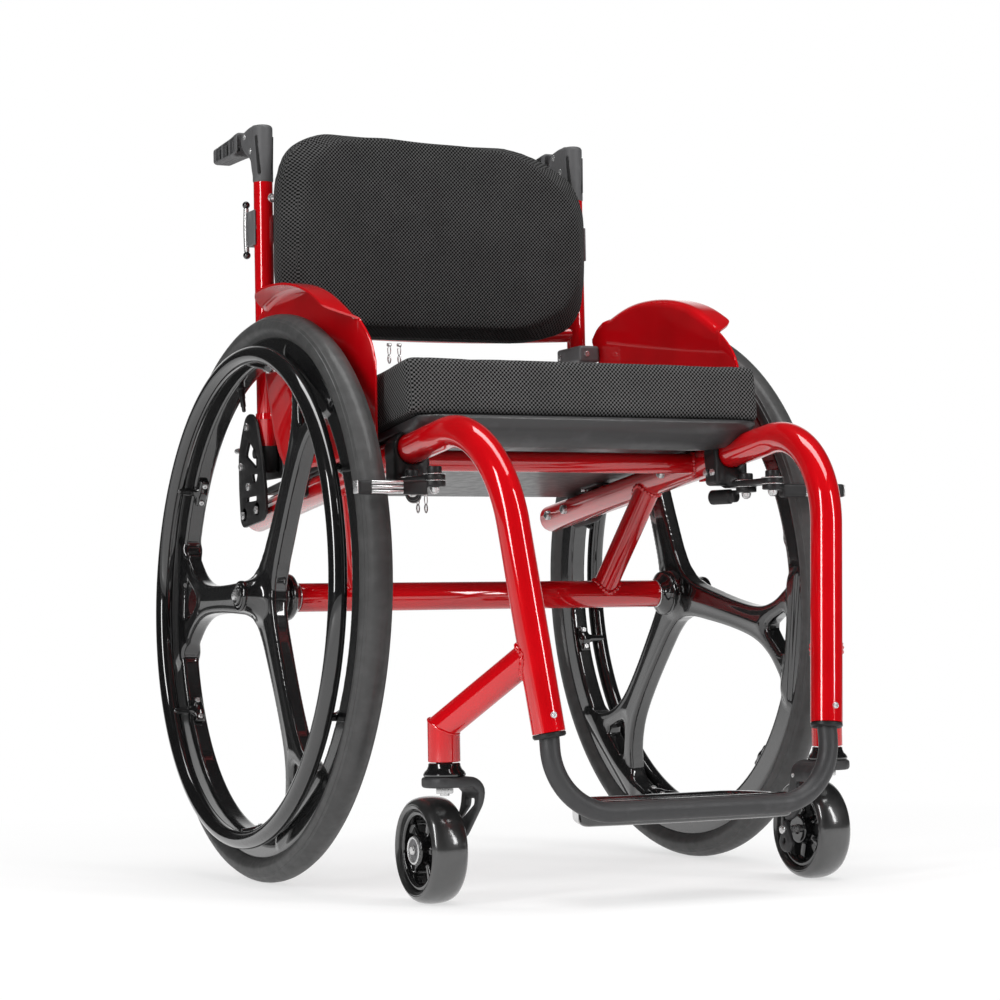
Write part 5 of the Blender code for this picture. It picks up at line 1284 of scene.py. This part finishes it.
def link_shape(pivot, end, barrel):
    """A moving link: an eye round its pin, drawn out into a bar."""
    toward = Vector(end) - Vector(pivot)
    reach = toward.length
    toward.normalize()

    def field(p):
        x, y, height = p[:, 0] - pivot[0], p[:, 1] - pivot[1], p[:, 2] - LINK_Z
        eye = slab(np.hypot(x, y) - 0.011, height, 0.003, 0.001)
        along, across = x * toward.x + y * toward.y, y * toward.x - x * toward.y
        if barrel:
            bar = slab(np.hypot(across, height + 0.0065) - 0.0066 - 0.0014 * (along > 0.02),
                       along - (reach + 0.012) / 2, (reach - 0.012) / 2, 0.0015)
        else:
            q = np.stack([along - (reach + 0.01) / 2, across, height + 0.004], 1)
            bar = rounded_box(q, (0, 0, 0), ((reach - 0.01) / 2, 0.0055, 0.007), 0.0022)
        return np.maximum(blended(eye, bar, 0.003), 0.0043 - np.hypot(x, y))

    low = [min(pair) - 0.016 for pair in zip(pivot, end)]
    high = [max(pair) + 0.016 for pair in zip(pivot, end)]
    return solid(field, (*low, LINK_Z - 0.016), (*high, LINK_Z + 0.006), 0.0013)


def make_brakes():
    bar_end = (BRAKE_BAR_END_X, BAR_PIVOT[1] - 0.002)
    mount, lever = mount_shape(), link_shape(LEVER_PIVOT, LEVER_END, True)
    bar = link_shape(BAR_PIVOT, bar_end, False)
    bar_z = LINK_Z - 0.004
    dome = lathe([(0, -0.0095), (0.0022, -0.0092), (0.004, -0.0078), (0.005, -0.0055), (0.0052, -0.003),
                  (0, -0.003)], 32)
    washer = lathe([(0.0044, -0.0005), (0.0114, -0.0005), (0.0118, 0), (0.0114, 0.0005), (0.0044, 0.0005)],
                   40)
    nut = hex_head(0.0046, 0.003)
    for name, side in SIDES.items():
        moving = f"brake_bar_{name}"
        piece(f"brake_clamp_{name}", sided(mount, side), "satin", "chair", replaces=f"brake_mount_{name}")
        piece(f"lever_{name}", sided(lever, side), "satin", f"brake_lever_{name}",
              replaces=f"brake_lever_{name}")
        piece(f"bar_{name}", sided(bar, side), "satin", moving, replaces=moving)
        rib = rod((side * 0.233, BAR_PIVOT[1] - 0.0062, 0), (side * 0.267, BAR_PIVOT[1] - 0.0068, 0), 0.002)
        ribs = [(rib, at(0, 0, bar_z + drop)) for drop in (-0.0046, 0, 0.0046)]
        piece(f"brake_ribs_{name}", grown(ribs), "steel", moving)
        tip = block(0.0016, 0.01, 0.0128, 0.0005)
        piece(f"brake_tip_{name}", tip, "steel", moving, at(side * (bar_end[0] + 0.0004), bar_end[1], bar_z))
        pins, caps = [], []
        for x, y in (LEVER_PIVOT, BAR_PIVOT):
            x *= side
            pins.append(rod((x, y, LINK_Z - 0.006), (x, y, BRAKE_PLATE_Z + 0.01), 0.004))
            pins.append(rod((x, y, BRAKE_PLATE_Z + 0.0035), (x, y, BRAKE_PLATE_Z + 0.011), 0.0075, 0.0012))
            caps.append((dome, at(x, y, LINK_Z - 0.0008)))
            caps += [(washer, at(x, y, BRAKE_PLATE_Z + gap)) for gap in (-0.0032, 0.0034)]
        piece(f"brake_pins_{name}", grown(pins), "satin", "chair")
        piece(f"brake_caps_{name}", grown(caps), "steel", "chair")
        face = seat_tube_point(side, BRAKE_MOUNT_Y).x - side * 0.02
        bolts = [(nut, frame_on((face, BRAKE_MOUNT_Y + along, 0.429), (-side, 0, 0), (0, 1, 0)))
                 for along in (-0.0068, 0.0068)]
        piece(f"clamp_bolts_{name}", grown(bolts), "steel", "chair")


# Cushions

def stuffed(mesh, travel, name):
    """The foam pushing a cover out: cloth under pressure, its points held to a short travel."""
    pad = linked(name, mesh)
    cloth = pad.modifiers.new("Cloth", "CLOTH")
    cloth.settings.use_pressure = True
    cloth.settings.uniform_pressure_force = 4
    cloth.settings.effector_weights.gravity = 0
    cloth.collision_settings.use_collision = False
    for step in range(1, 21):
        bpy.context.scene.frame_set(step)
    start = points_of(mesh)
    move = points_of(applied(pad)) - start
    far = np.linalg.norm(move, axis=1, keepdims=True)
    place_points(mesh, start + move * np.minimum(1, travel / np.maximum(far, 1e-9)))
    pad.modifiers.clear()
    bpy.context.scene.frame_set(1)
    smooth = pad.modifiers.new("Subdivision", "SUBSURF")
    smooth.levels = smooth.render_levels = 1
    fine = applied(pad)
    bpy.data.objects.remove(pad)
    fine.shade_smooth()
    return fine


def points_of(mesh):
    flat = np.empty(len(mesh.vertices) * 3)
    mesh.vertices.foreach_get("co", flat)
    return flat.reshape(-1, 3)


def place_points(mesh, points):
    mesh.vertices.foreach_set("co", points.ravel())
    mesh.update()


def back_wrap(x):
    """How far the back's middle surface has come forward at an X."""
    return BACK_WRAP * (x / BACK_HALF_WIDTH) ** 2


def seam_dip(distance, width, depth):
    return depth * np.exp(-(distance / width) ** 2)


def seat_cushion_mesh():
    wide, long, thick = CUSHION_WIDTH / 2 - 0.001, CUSHION_LENGTH / 2 - 0.001, CUSHION_THICKNESS / 2 - 0.0005

    def field(p):
        x, y, z = np.abs(p.T)
        corner = np.where(p[:, 1] > 0, 0.04, 0.011)
        reach = np.stack([x - wide + corner, y - long + corner])
        flat = np.hypot(*np.maximum(reach, 0)) + np.minimum(reach.max(axis=0), 0) - corner
        crown = 0.004 * (1 - (x / wide) ** 4) * (1 - (y / long) ** 4) * (p[:, 2] > 0)
        return slab(flat, z - crown, thick, 0.0065)

    low = (-wide - 0.007, -long - 0.007, -thick - 0.007)
    mesh = stuffed(solid(field, low, (wide + 0.007, long + 0.007, thick + 0.011), 0.005), 0.0022, "seat_pad")
    points = points_of(mesh)
    x, y, z = points.T
    front = (y < -long + 0.014) & (z > -thick + 0.004)
    points[:, 1] += seam_dip(np.abs(x) - SEAT_SEAM_X, 0.0028, 0.0012) * front
    points[:, 2] = np.maximum(points[:, 2], -CUSHION_THICKNESS / 2)
    place_points(mesh, points)
    return mesh


def both_halves(near, far):
    """A closed outline from the image's left and right halves, each from the top down."""
    return rounded(far + [(-x, z) for x, z in reversed(near)], 0.025)


def back_cushion_mesh():
    outline, face = both_halves(*BACK_SIDE_LINES), both_halves(*BACK_FACE_LINES)
    thick = BACK_THICKNESS - 0.002

    def field(p):
        x, y, z = p.T
        depth = -y - back_wrap(x)
        share = np.clip((depth - BACK_CHAMFER) / (thick - BACK_CHAMFER), 0, 1.2)
        flat = (within(x, z, outline) * (1 - share) + within(x, z, face) * share + 0.001) * 0.85
        out = np.minimum(np.maximum(np.abs(x) / BACK_HALF_WIDTH, np.abs(z) / BACK_HALF_HEIGHT), 1)
        front = depth - thick + BACK_CROWN - 0.003 * (1 - out ** 3)
        return common(common(flat, front, 0.0022), -depth, 0.003)

    wide, tall = BACK_HALF_WIDTH + 0.008, BACK_HALF_HEIGHT + 0.008
    form = solid(field, (-wide, -thick - BACK_WRAP - 0.008, -tall), (wide, 0.006, tall), 0.005)
    mesh = stuffed(form, 0.0012, "back_pad")
    points = points_of(mesh)
    depth = -points[:, 1] - back_wrap(points[:, 0])
    side = within(points[:, 0], points[:, 2], outline) > -0.008
    outward = points * (1, 0, 1)
    outward /= np.maximum(np.linalg.norm(outward, axis=1, keepdims=True), 1e-9)
    points -= outward * (seam_dip(depth - BACK_SEAM_DEPTH, 0.0028, 0.0018) * side)[:, None]
    points[:, 1] = np.minimum(points[:, 1], -back_wrap(points[:, 0]))
    place_points(mesh, points)
    return mesh


def zip_pull():
    """A slider, its looped pull and a smaller loop as the pull's tab."""
    parts = [block(0.005, 0.004, 0.004)]
    for wide, tall, middle, radius in ((0.0018, 0.0062, -0.006, 0.0006), (0.0016, 0.0048, -0.0162, 0.0009)):
        loop = [(wide * math.cos(a), 0, middle - tall * math.sin(a)) for a in np.linspace(0, math.tau, 33)]
        parts.append(tube(loop, radius, 8))
    return grown(parts)


def make_zip_pulls():
    """Pairs that meet under the back cushion and behind the seat."""
    pull = zip_pull()
    for name, body in (("back", "backrest"), ("seat", "chair")):
        piece(f"zip_pulls_{name}", grown([(pull, at(*place)) for place in ZIP_PLACES[name]]), "steel", body)


def pan_lip():
    """The pan's front, rolled down under the cushion and flattening toward its two ends."""
    lip = rounded([(0.062, 0), (0.062, -0.009), (0.048, -0.012), (0.036, -0.0245), (0.027, -0.0285),
                   (0.01, -0.0235), (-0.004, -0.013), (-0.008, -0.0035), (-0.006, 0)], 0.006, 4)
    wide = PAN_WIDTH / 2

    def field(p):
        x, y, z = p.T
        end = np.clip((np.abs(x) - wide + 0.075) / 0.075, 0, 1)
        deep = 0.32 + 0.68 * np.sqrt(np.maximum(1 - end ** 2.2, 0))
        corner = 0.01 * np.maximum(np.abs(x) - wide + 0.03, 0) ** 2 / 0.03 ** 2
        return common(within(y - corner, z / deep, lip) * (0.55 + 0.45 * deep), np.abs(x) - wide, 0.003)

    return solid(field, (-wide - 0.004, -0.012, -0.032), (wide + 0.004, 0.066, 0.004), 0.0024)


def make_seat():
    seat = seat_frame()
    pad = piece("seat_pad", seat_cushion_mesh(), "seat_mesh", "chair",
                seat @ at(0, CUSHION_LENGTH / 2, CUSHION_THICKNESS / 2 + GAP), "seat_cushion")
    thick = PAN_THICKNESS
    board = block(PAN_WIDTH, PAN_LENGTH - 0.058, thick, 0.0022, 4)
    parts = [(board, at(0, PAN_LENGTH / 2 + 0.021, -thick / 2)), pan_lip()]
    tube_top = (seat.inverted() @ seat_tube_point(1, 0)).z + MAIN_TUBE_RADIUS + GAP
    height = -thick + 0.001 - tube_top
    screws = []
    for side in SIDES.values():
        for along in (0.125, 0.345):
            x = side * (PAN_WIDTH / 2 - 0.012)
            parts.append((block(0.02, 0.036, height, 0.002), at(x, along, tube_top + height / 2)))
            screws.append((seat @ Vector((x, along + 0.03, -thick)), seat.to_3x3() @ Vector((0, 0, -1))))
    piece("pan", grown(parts), "pan", "chair", seat, "seat_pan")
    set_screws("pan_screws", screws, 0.0042, 0.002)


# Backrest

def make_shell():
    """The stiff panel behind the cushion, bent the same way."""
    bm = bmesh.new()
    bmesh.ops.create_grid(bm, x_segments=64, y_segments=36, size=1)
    for vert in bm.verts:
        a, b = vert.co.x, vert.co.y
        reach = max(abs(a), abs(b)) or 1
        power = 2.8 if b > 0 else 3.7
        scale = 0.88 * max((abs(a) / reach) ** power + (abs(b) / reach) ** power, 1) ** (-1 / power)
        x = a * scale * BACK_HALF_WIDTH
        vert.co = (x, 0.0018 - back_wrap(x), b * scale * BACK_HALF_HEIGHT)
    shell = piece("shell", to_mesh(bm), "satin", "backrest", at(0, BACK_REAR_Y, BACK_CENTRE_Z), "back_shell")
    as_sheet(shell, SHELL_THICKNESS, 0.0009)
    screws = [((x, BACK_REAR_Y + 0.0033 - back_wrap(x), BACK_CENTRE_Z + z), (0, 1, 0))
              for x in (-0.15, -0.06, 0.06, 0.15) for z in (-0.06, 0.06)]
    set_screws("shell_screws", screws, 0.0045, body="backrest")


def make_cane(name, side):
    x = side * CANE_X
    piece(f"cane_{name}", rod((x, CANE_Y, CANE_FOOT_Z), (x, CANE_Y, CANE_TOP_Z), CANE_RADIUS, 0.0008), "red",
          "backrest", replaces=f"back_cane_{name}")
    collar = moved(CANE_RADIUS, 0,
                   [(-0.001, -0.004), (0.0012, -0.0035), (0.0014, 0), (0.0012, 0.0035), (-0.001, 0.004)])
    piece(f"cane_collar_{name}", lathe(collar), "red", "backrest", at(x, CANE_Y, CANE_COLLAR_Z))
    socket = moved(CANE_RADIUS, 0,
                   [(0.0001, -0.021), (0.0016, -0.02), (0.0016, 0.006), (0.001, 0.008), (0.0001, 0.008)])
    piece(f"cane_socket_{name}", lathe(socket), "satin", "backrest", at(x, CANE_Y, BACK_PIVOT_Z))
    bolt = Vector((-side * 0.55, -0.83, 0)).normalized()
    place = Vector((x, CANE_Y, CANE_BOLT_Z)) + bolt * CANE_RADIUS
    head = [(0, 0.0072), (0.0022, 0.007), (0.0034, 0.0058), (0.0036, 0.0016), (0.0052, 0.0014),
            (0.0052, -0.001), (0, -0.001)]
    piece(f"cane_bolt_{name}", lathe(head, 32), "steel", "backrest", frame_on(place, bolt))


def make_back_mount(name, side):
    """Saddle, bracket and lever latch with its two black ball ends."""
    z = BACK_MOUNT_Z
    reach = CANE_RADIUS + GAP
    outer, inner, rear = CANE_X + reach, CANE_X - reach, CANE_Y + reach
    front, block_y = CANE_Y - 0.005, 0.01
    bracket_x = inner - 0.012
    face = BACK_REAR_Y - back_wrap(bracket_x - 0.012) + 0.0036
    depth = CANE_Y + 0.006 - face
    cheek = block(0.0022, rear + block_y - front, 0.04, 0.0008)
    saddle = block(2 * CANE_RADIUS, block_y, 0.04, 0.0018)
    parts = [(cheek, at(side * (outer + 0.0011), (rear + block_y + front) / 2, z)),
             (saddle, at(side * (outer + 0.0022 - CANE_RADIUS), rear + block_y / 2, z)),
             (block(0.024, depth, 0.032, 0.002), at(side * bracket_x, face + depth / 2, z)),
             rod((side * (inner - 0.006), CANE_Y, z), (side * (outer + 0.0015), CANE_Y, z), 0.004)]
    piece(f"back_saddle_{name}", grown(parts), "latch", "backrest", replaces=f"back_mount_{name}")
    x, y = side * (outer + 0.001), rear + block_y + 0.001
    bar = [(x, y + 0.0018 * math.sin(math.pi * t), z - 0.025 + 0.05 * t) for t in np.linspace(0, 1, 15)]
    piece(f"latch_bar_{name}", tube(bar, 0.0031, 16), "steel", "backrest")
    ball = lathe([(0.0044 * math.sin(a), 0.0044 * math.cos(a)) for a in np.linspace(0, math.pi, 15)], 24)
    piece(f"latch_balls_{name}", grown([(ball, at(x, y, z + end)) for end in (-0.029, 0.029)]), "gloss",
          "backrest")


def clamp_shape():
    """The left clamp round the cane, split behind it."""
    centre, half = np.array((CANE_X, CLAMP_Y, CLAMP_Z)), np.array(CLAMP_SIZE) / 2

    def field(p):
        x, y = p[:, 0] - CANE_X, p[:, 1] - CANE_Y
        body = np.maximum(rounded_box(p, centre, half, 0.0035), CANE_RADIUS + 0.0002 - np.hypot(x, y))
        return np.maximum(body, -np.maximum(np.abs(x) - 0.001, 0.004 - y))

    return solid(field, centre - half - 0.003, centre + half + 0.003, 0.0012)


def make_clamp(name, side, shape):
    piece(f"clamp_{name}", sided(shape, side), "latch", "backrest", replaces=f"cane_clamp_{name}")
    screws = [((side * (CANE_X - CLAMP_SIZE[0] / 2), CANE_Y + 0.017, CLAMP_Z), (-side, 0, 0)),
              ((side * (CANE_X - 0.004), CLAMP_Y - CLAMP_SIZE[1] / 2, CLAMP_Z), (0, -1, 0))]
    set_screws(f"clamp_screws_{name}", screws, 0.0034, 0.0012, "backrest")


def slot_line(side, face, deep=0.0):
    """The slanted groove in a handle head's cheek, from top to foot."""
    return [(side * CANE_X + face * (x - deep), CANE_Y - y, z)
            for x, y, z in ((0.0106, 0.0052, HANDLE_SLOT_TOP_Z), (0.0082, 0.0086, HANDLE_SLOT_FOOT_Z))]


def sleeve_shape():
    """The left push handle's fixed head and the sleeve round the cane's top."""
    head = rounded([(0, -0.06), (0.0085, -0.05), (0.0125, -0.04), (0.02, -0.034), (0.033, -0.0275),
                    (0.0415, -0.018), (0.042, -0.0095), (0.035, -0.0028), (0.016, 0.0006), (0, 0)], 0.008)
    foot, top = CANE_TOP_Z - 0.0032, HEAD_TOP_Z - 0.003

    def field(p):
        x, y, z = np.abs(p[:, 0] - CANE_X), p[:, 1] - CANE_Y, p[:, 2]
        hook = slab(within(y, z - top, head), x, 0.0112, 0.004)
        sleeve = slab(np.hypot(x, y) - 0.0117, z - (foot + top) / 2, (top - foot) / 2, 0.0045)
        mouth = np.maximum(np.maximum(x - 0.0053, 0.0198 - y), z - HANDLE_MOUTH_TOP_Z)
        body = np.maximum(blended(hook, sleeve, 0.004), -mouth)
        groove = capsule(np.stack([CANE_X + x, p[:, 1], z], 1), *slot_line(1, 1), 0.0019)
        return common(body, -groove, 0.0004)

    low = (CANE_X - 0.015, CANE_Y - 0.015, foot - 0.003)
    return solid(field, low, (CANE_X + 0.015, CANE_Y + 0.046, top + 0.003), 0.0011)


def grip_shape():
    """The left folding grip: a tapering ribbed bar with open sides, and its tongue."""
    y_pivot, z_pivot = GRIP_PIVOT
    start, length = GRIP_START_Y, GRIP_LENGTH

    def field(p):
        x, y, high = p[:, 0] - CANE_X, p[:, 1], p[:, 2] - z_pivot
        share = np.clip((y - start) / length, 0, 1)
        tall = 0.0135 - 0.004 * share
        z = high + 0.0035 + 0.0025 * share
        along = y - start - length / 2
        cheek = 0.0016 * np.clip(1.6 - (y - start) / 0.018, 0, 1)
        q = np.stack([np.maximum(np.abs(x) - cheek, 0), along, z * 0.0135 / tall], 1)
        body = rounded_box(q, (0, 0, 0), (0.012, length / 2, 0.0135), 0.0055)
        for k in range(GRIP_WINDOWS):
            q = np.stack([np.abs(x), y - start - 0.019 - GRIP_WINDOW_STEP * k, z * 0.0135 / tall - 0.0012], 1)
            body = common(body, -rounded_box(q, (0.012, 0, 0), (0.006, 0.0102, 0.01), 0.002), 0.0008)
        for across in (-0.0045, 0, 0.0045):
            groove = np.hypot(x - across, z + tall) - 0.0011
            body = common(body, -np.maximum(groove, np.abs(along) - length / 2 + 0.01), 0.0006)
        fork = (y - start - 0.002 - 0.5 * (0.006 - high)) * 0.894
        body = common(body, -np.maximum(np.abs(x) - 0.0117, fork), 0.0004)
        tongue = slab(np.hypot(y - np.clip(y, y_pivot, start + 0.01), high) - 0.0075, x, 0.005, 0.001)
        return np.maximum(blended(body, tongue, 0.002), 0.0032 - np.hypot(y - y_pivot, high))

    low = (CANE_X - 0.0155, y_pivot - 0.011, z_pivot - 0.0225)
    return solid(field, low, (CANE_X + 0.0155, start + length + 0.003, z_pivot + 0.0165), 0.0012)


def make_handles():
    sleeve, grip = sleeve_shape(), grip_shape()
    places = ((GRIP_PIVOT, 0.0036), (HANDLE_PIN, 0.0034))
    pins = [(place, radius, face) for place, radius in places for face in (-1, 1)]
    for name, side in SIDES.items():
        x, moving = side * CANE_X, f"push_grip_{name}"
        piece(f"handle_{name}", sided(sleeve, side), "handle", "backrest", replaces=f"handle_sleeve_{name}")
        piece(f"grip_{name}", sided(grip, side), "handle", moving, replaces=moving)
        for i, (place, radius, face) in enumerate(pins):
            spot = ((x + face * 0.0112, *place), (face, 0, 0))
            set_screws(f"handle_pin_{name}_{i}", [spot], radius, 0.0008, "backrest")
        # Painted shade: dark sheets on the floors of the grip's windows, and dark rods down the head's
        # grooves
        window_shades = []
        for k in range(GRIP_WINDOWS):
            y, z = GRIP_START_Y + 0.019 + GRIP_WINDOW_STEP * k, GRIP_PIVOT[1] - 0.0034 - 0.0007 * k
            window_shade = block(0.0006, 0.019, 0.015 - 0.0018 * k, 0.0002)
            window_shades += [(window_shade, at(x + face * 0.0064, y, z)) for face in (-1, 1)]
        piece(f"grip_window_shade_{name}", grown(window_shades), "pocket", moving)
        slot_shades = [rod(*slot_line(side, face, 0.001), 0.0017) for face in (-1, 1)]
        piece(f"handle_slot_shade_{name}", grown(slot_shades), "pocket", "backrest")


def make_backrest():
    place = at(0, BACK_REAR_Y, BACK_CENTRE_Z)
    pad = piece("back_pad", back_cushion_mesh(), "mesh", "backrest", place, "back_cushion")
    make_shell()
    path = [(x * CANE_X, CANE_Y + 0.026 * (1 - x * x), BACK_BAR_Z - 0.004 * (1 - x * x))
            for x in np.linspace(-0.97, 0.97, 41)]
    piece("back_bar_fine", tube(path, 0.009, 32), "red", "backrest", replaces="back_bar")
    clamp = clamp_shape()
    for name, side in SIDES.items():
        make_cane(name, side)
        make_back_mount(name, side)
        make_clamp(name, side, clamp)
    make_handles()


# Stage

def make_camera():
    cos_pitch = math.cos(CAMERA_PITCH)
    ahead = Vector((math.sin(CAMERA_YAW) * cos_pitch,
                    math.cos(CAMERA_YAW) * cos_pitch, math.sin(CAMERA_PITCH)))
    level = Vector((math.cos(CAMERA_YAW), -math.sin(CAMERA_YAW), 0))
    up = level.cross(ahead)
    turn_cos, turn_sin = math.cos(CAMERA_ROLL), math.sin(CAMERA_ROLL)
    right = level * turn_cos + up * turn_sin
    top = up * turn_cos - level * turn_sin
    camera = linked("camera", bpy.data.cameras.new("camera"))
    placed = Matrix((right, top, -ahead)).transposed().to_4x4()
    placed.translation = CAMERA_PLACE
    camera.matrix_world = CHAIR @ placed
    camera.data.lens = CAMERA_LENS
    camera.data.sensor_width = 36
    bpy.context.scene.camera = camera


def softbox(name, place, target, size, power):
    light = bpy.data.lights.new(name, "AREA")
    light.shape = "RECTANGLE"
    light.size, light.size_y = size
    light.energy = power
    toward = Vector(target) - Vector(place)
    turn = toward.to_track_quat("-Z", "Y").to_matrix().to_4x4()
    linked(name, light).matrix_world = Matrix.Translation(place) @ turn


def seen_rays(n):
    """What the camera looks at, and what shows in a gloss or through a clear surface."""
    rays = n.add("ShaderNodeLightPath").outputs
    gloss = n.math("MAXIMUM", rays["Is Glossy Ray"], rays["Is Transmission Ray"])
    return rays["Is Camera Ray"], gloss


def make_floor():
    """A pale floor that keeps the shadows near the chair and fades to white further off."""
    bm = bmesh.new()
    bmesh.ops.create_circle(bm, cap_ends=True, segments=64, radius=30)
    floor = linked("studio_floor", to_mesh(bm))
    n = Nodes("studio floor")
    away = n.add("ShaderNodeVectorMath", operation="LENGTH")
    n.wire(n.place, away.inputs[0])
    camera_ray, gloss_ray = seen_rays(n)
    lit = n.ramp(away.outputs["Value"], 0.35, 1.3, FLOOR_WHITE, 1)
    gone = n.ramp(away.outputs["Value"], 1.2, 2.8, 1, 0.04)
    in_gloss = n.math("MULTIPLY", n.math("MULTIPLY", lit, gone), gloss_ray)
    far = n.math("MAXIMUM", n.math("MULTIPLY", lit, camera_ray), in_gloss)
    white = n.add("ShaderNodeEmission")
    choose = n.add("ShaderNodeMixShader")
    n.set(Base_Color=(0.95, 0.95, 0.95), Roughness=0.8, Specular_IOR_Level=0.1)
    n.wire(far, choose.inputs[0])
    n.wire(n.shader.outputs[0], choose.inputs[1])
    n.wire(white.outputs[0], choose.inputs[2])
    n.wire(choose.outputs[0], n.tree.nodes["Material Output"].inputs[0])
    floor.data.materials.append(n.material)


def make_world():
    """A white room, open and darker on the side that the chair faces."""
    world = bpy.data.worlds.new("studio")
    bpy.context.scene.world = world
    world.use_nodes = True
    n = Nodes.__new__(Nodes)
    n.tree = world.node_tree
    view = n.add("ShaderNodeTexCoord").outputs["Generated"]
    _, y, z = n.split(view)
    behind = n.math("MAXIMUM", n.ramp(y, 0.15, 0.75), n.ramp(z, 0.75, 0.98))
    camera_ray, gloss_ray = seen_rays(n)
    light = n.ramp(behind, 0, 1, WORLD_FRONT, WORLD_BACK)
    facing = n.add("ShaderNodeVectorMath", operation="DOT_PRODUCT")
    n.wire(view, facing.inputs[0])
    facing.inputs[1].default_value = (math.sin(CAMERA_YAW), math.cos(CAMERA_YAW), 0)
    seen = n.math("MAXIMUM", camera_ray, n.ramp(facing.outputs["Value"], 0.8, 0.96, GLOSS_FRONT, 1))
    strength = n.add("ShaderNodeMix")
    for index, value in ((0, n.math("MAXIMUM", camera_ray, gloss_ray)), (2, light), (3, seen)):
        n.wire(value, strength.inputs[index])
    n.wire(strength.outputs[0], n.tree.nodes["Background"].inputs["Strength"])
    n.tree.nodes["Background"].inputs["Color"].default_value = (1, 1, 1, 1)


def make_stage():
    make_floor()
    make_world()
    for name, place, target, size, power in SOFTBOXES:
        softbox(name, place, target, size, power)
    bpy.context.scene.view_settings.view_transform = "Standard"


make_camera()
make_tubes()
for side_name, side_sign in SIDES.items():
    make_guard(side_name, side_sign)
    make_hinge_plate(side_name, side_sign)
make_rear_wheels()
make_casters()
make_footrest()
make_brakes()
make_seat()
make_backrest()
make_zip_pulls()
make_stage()
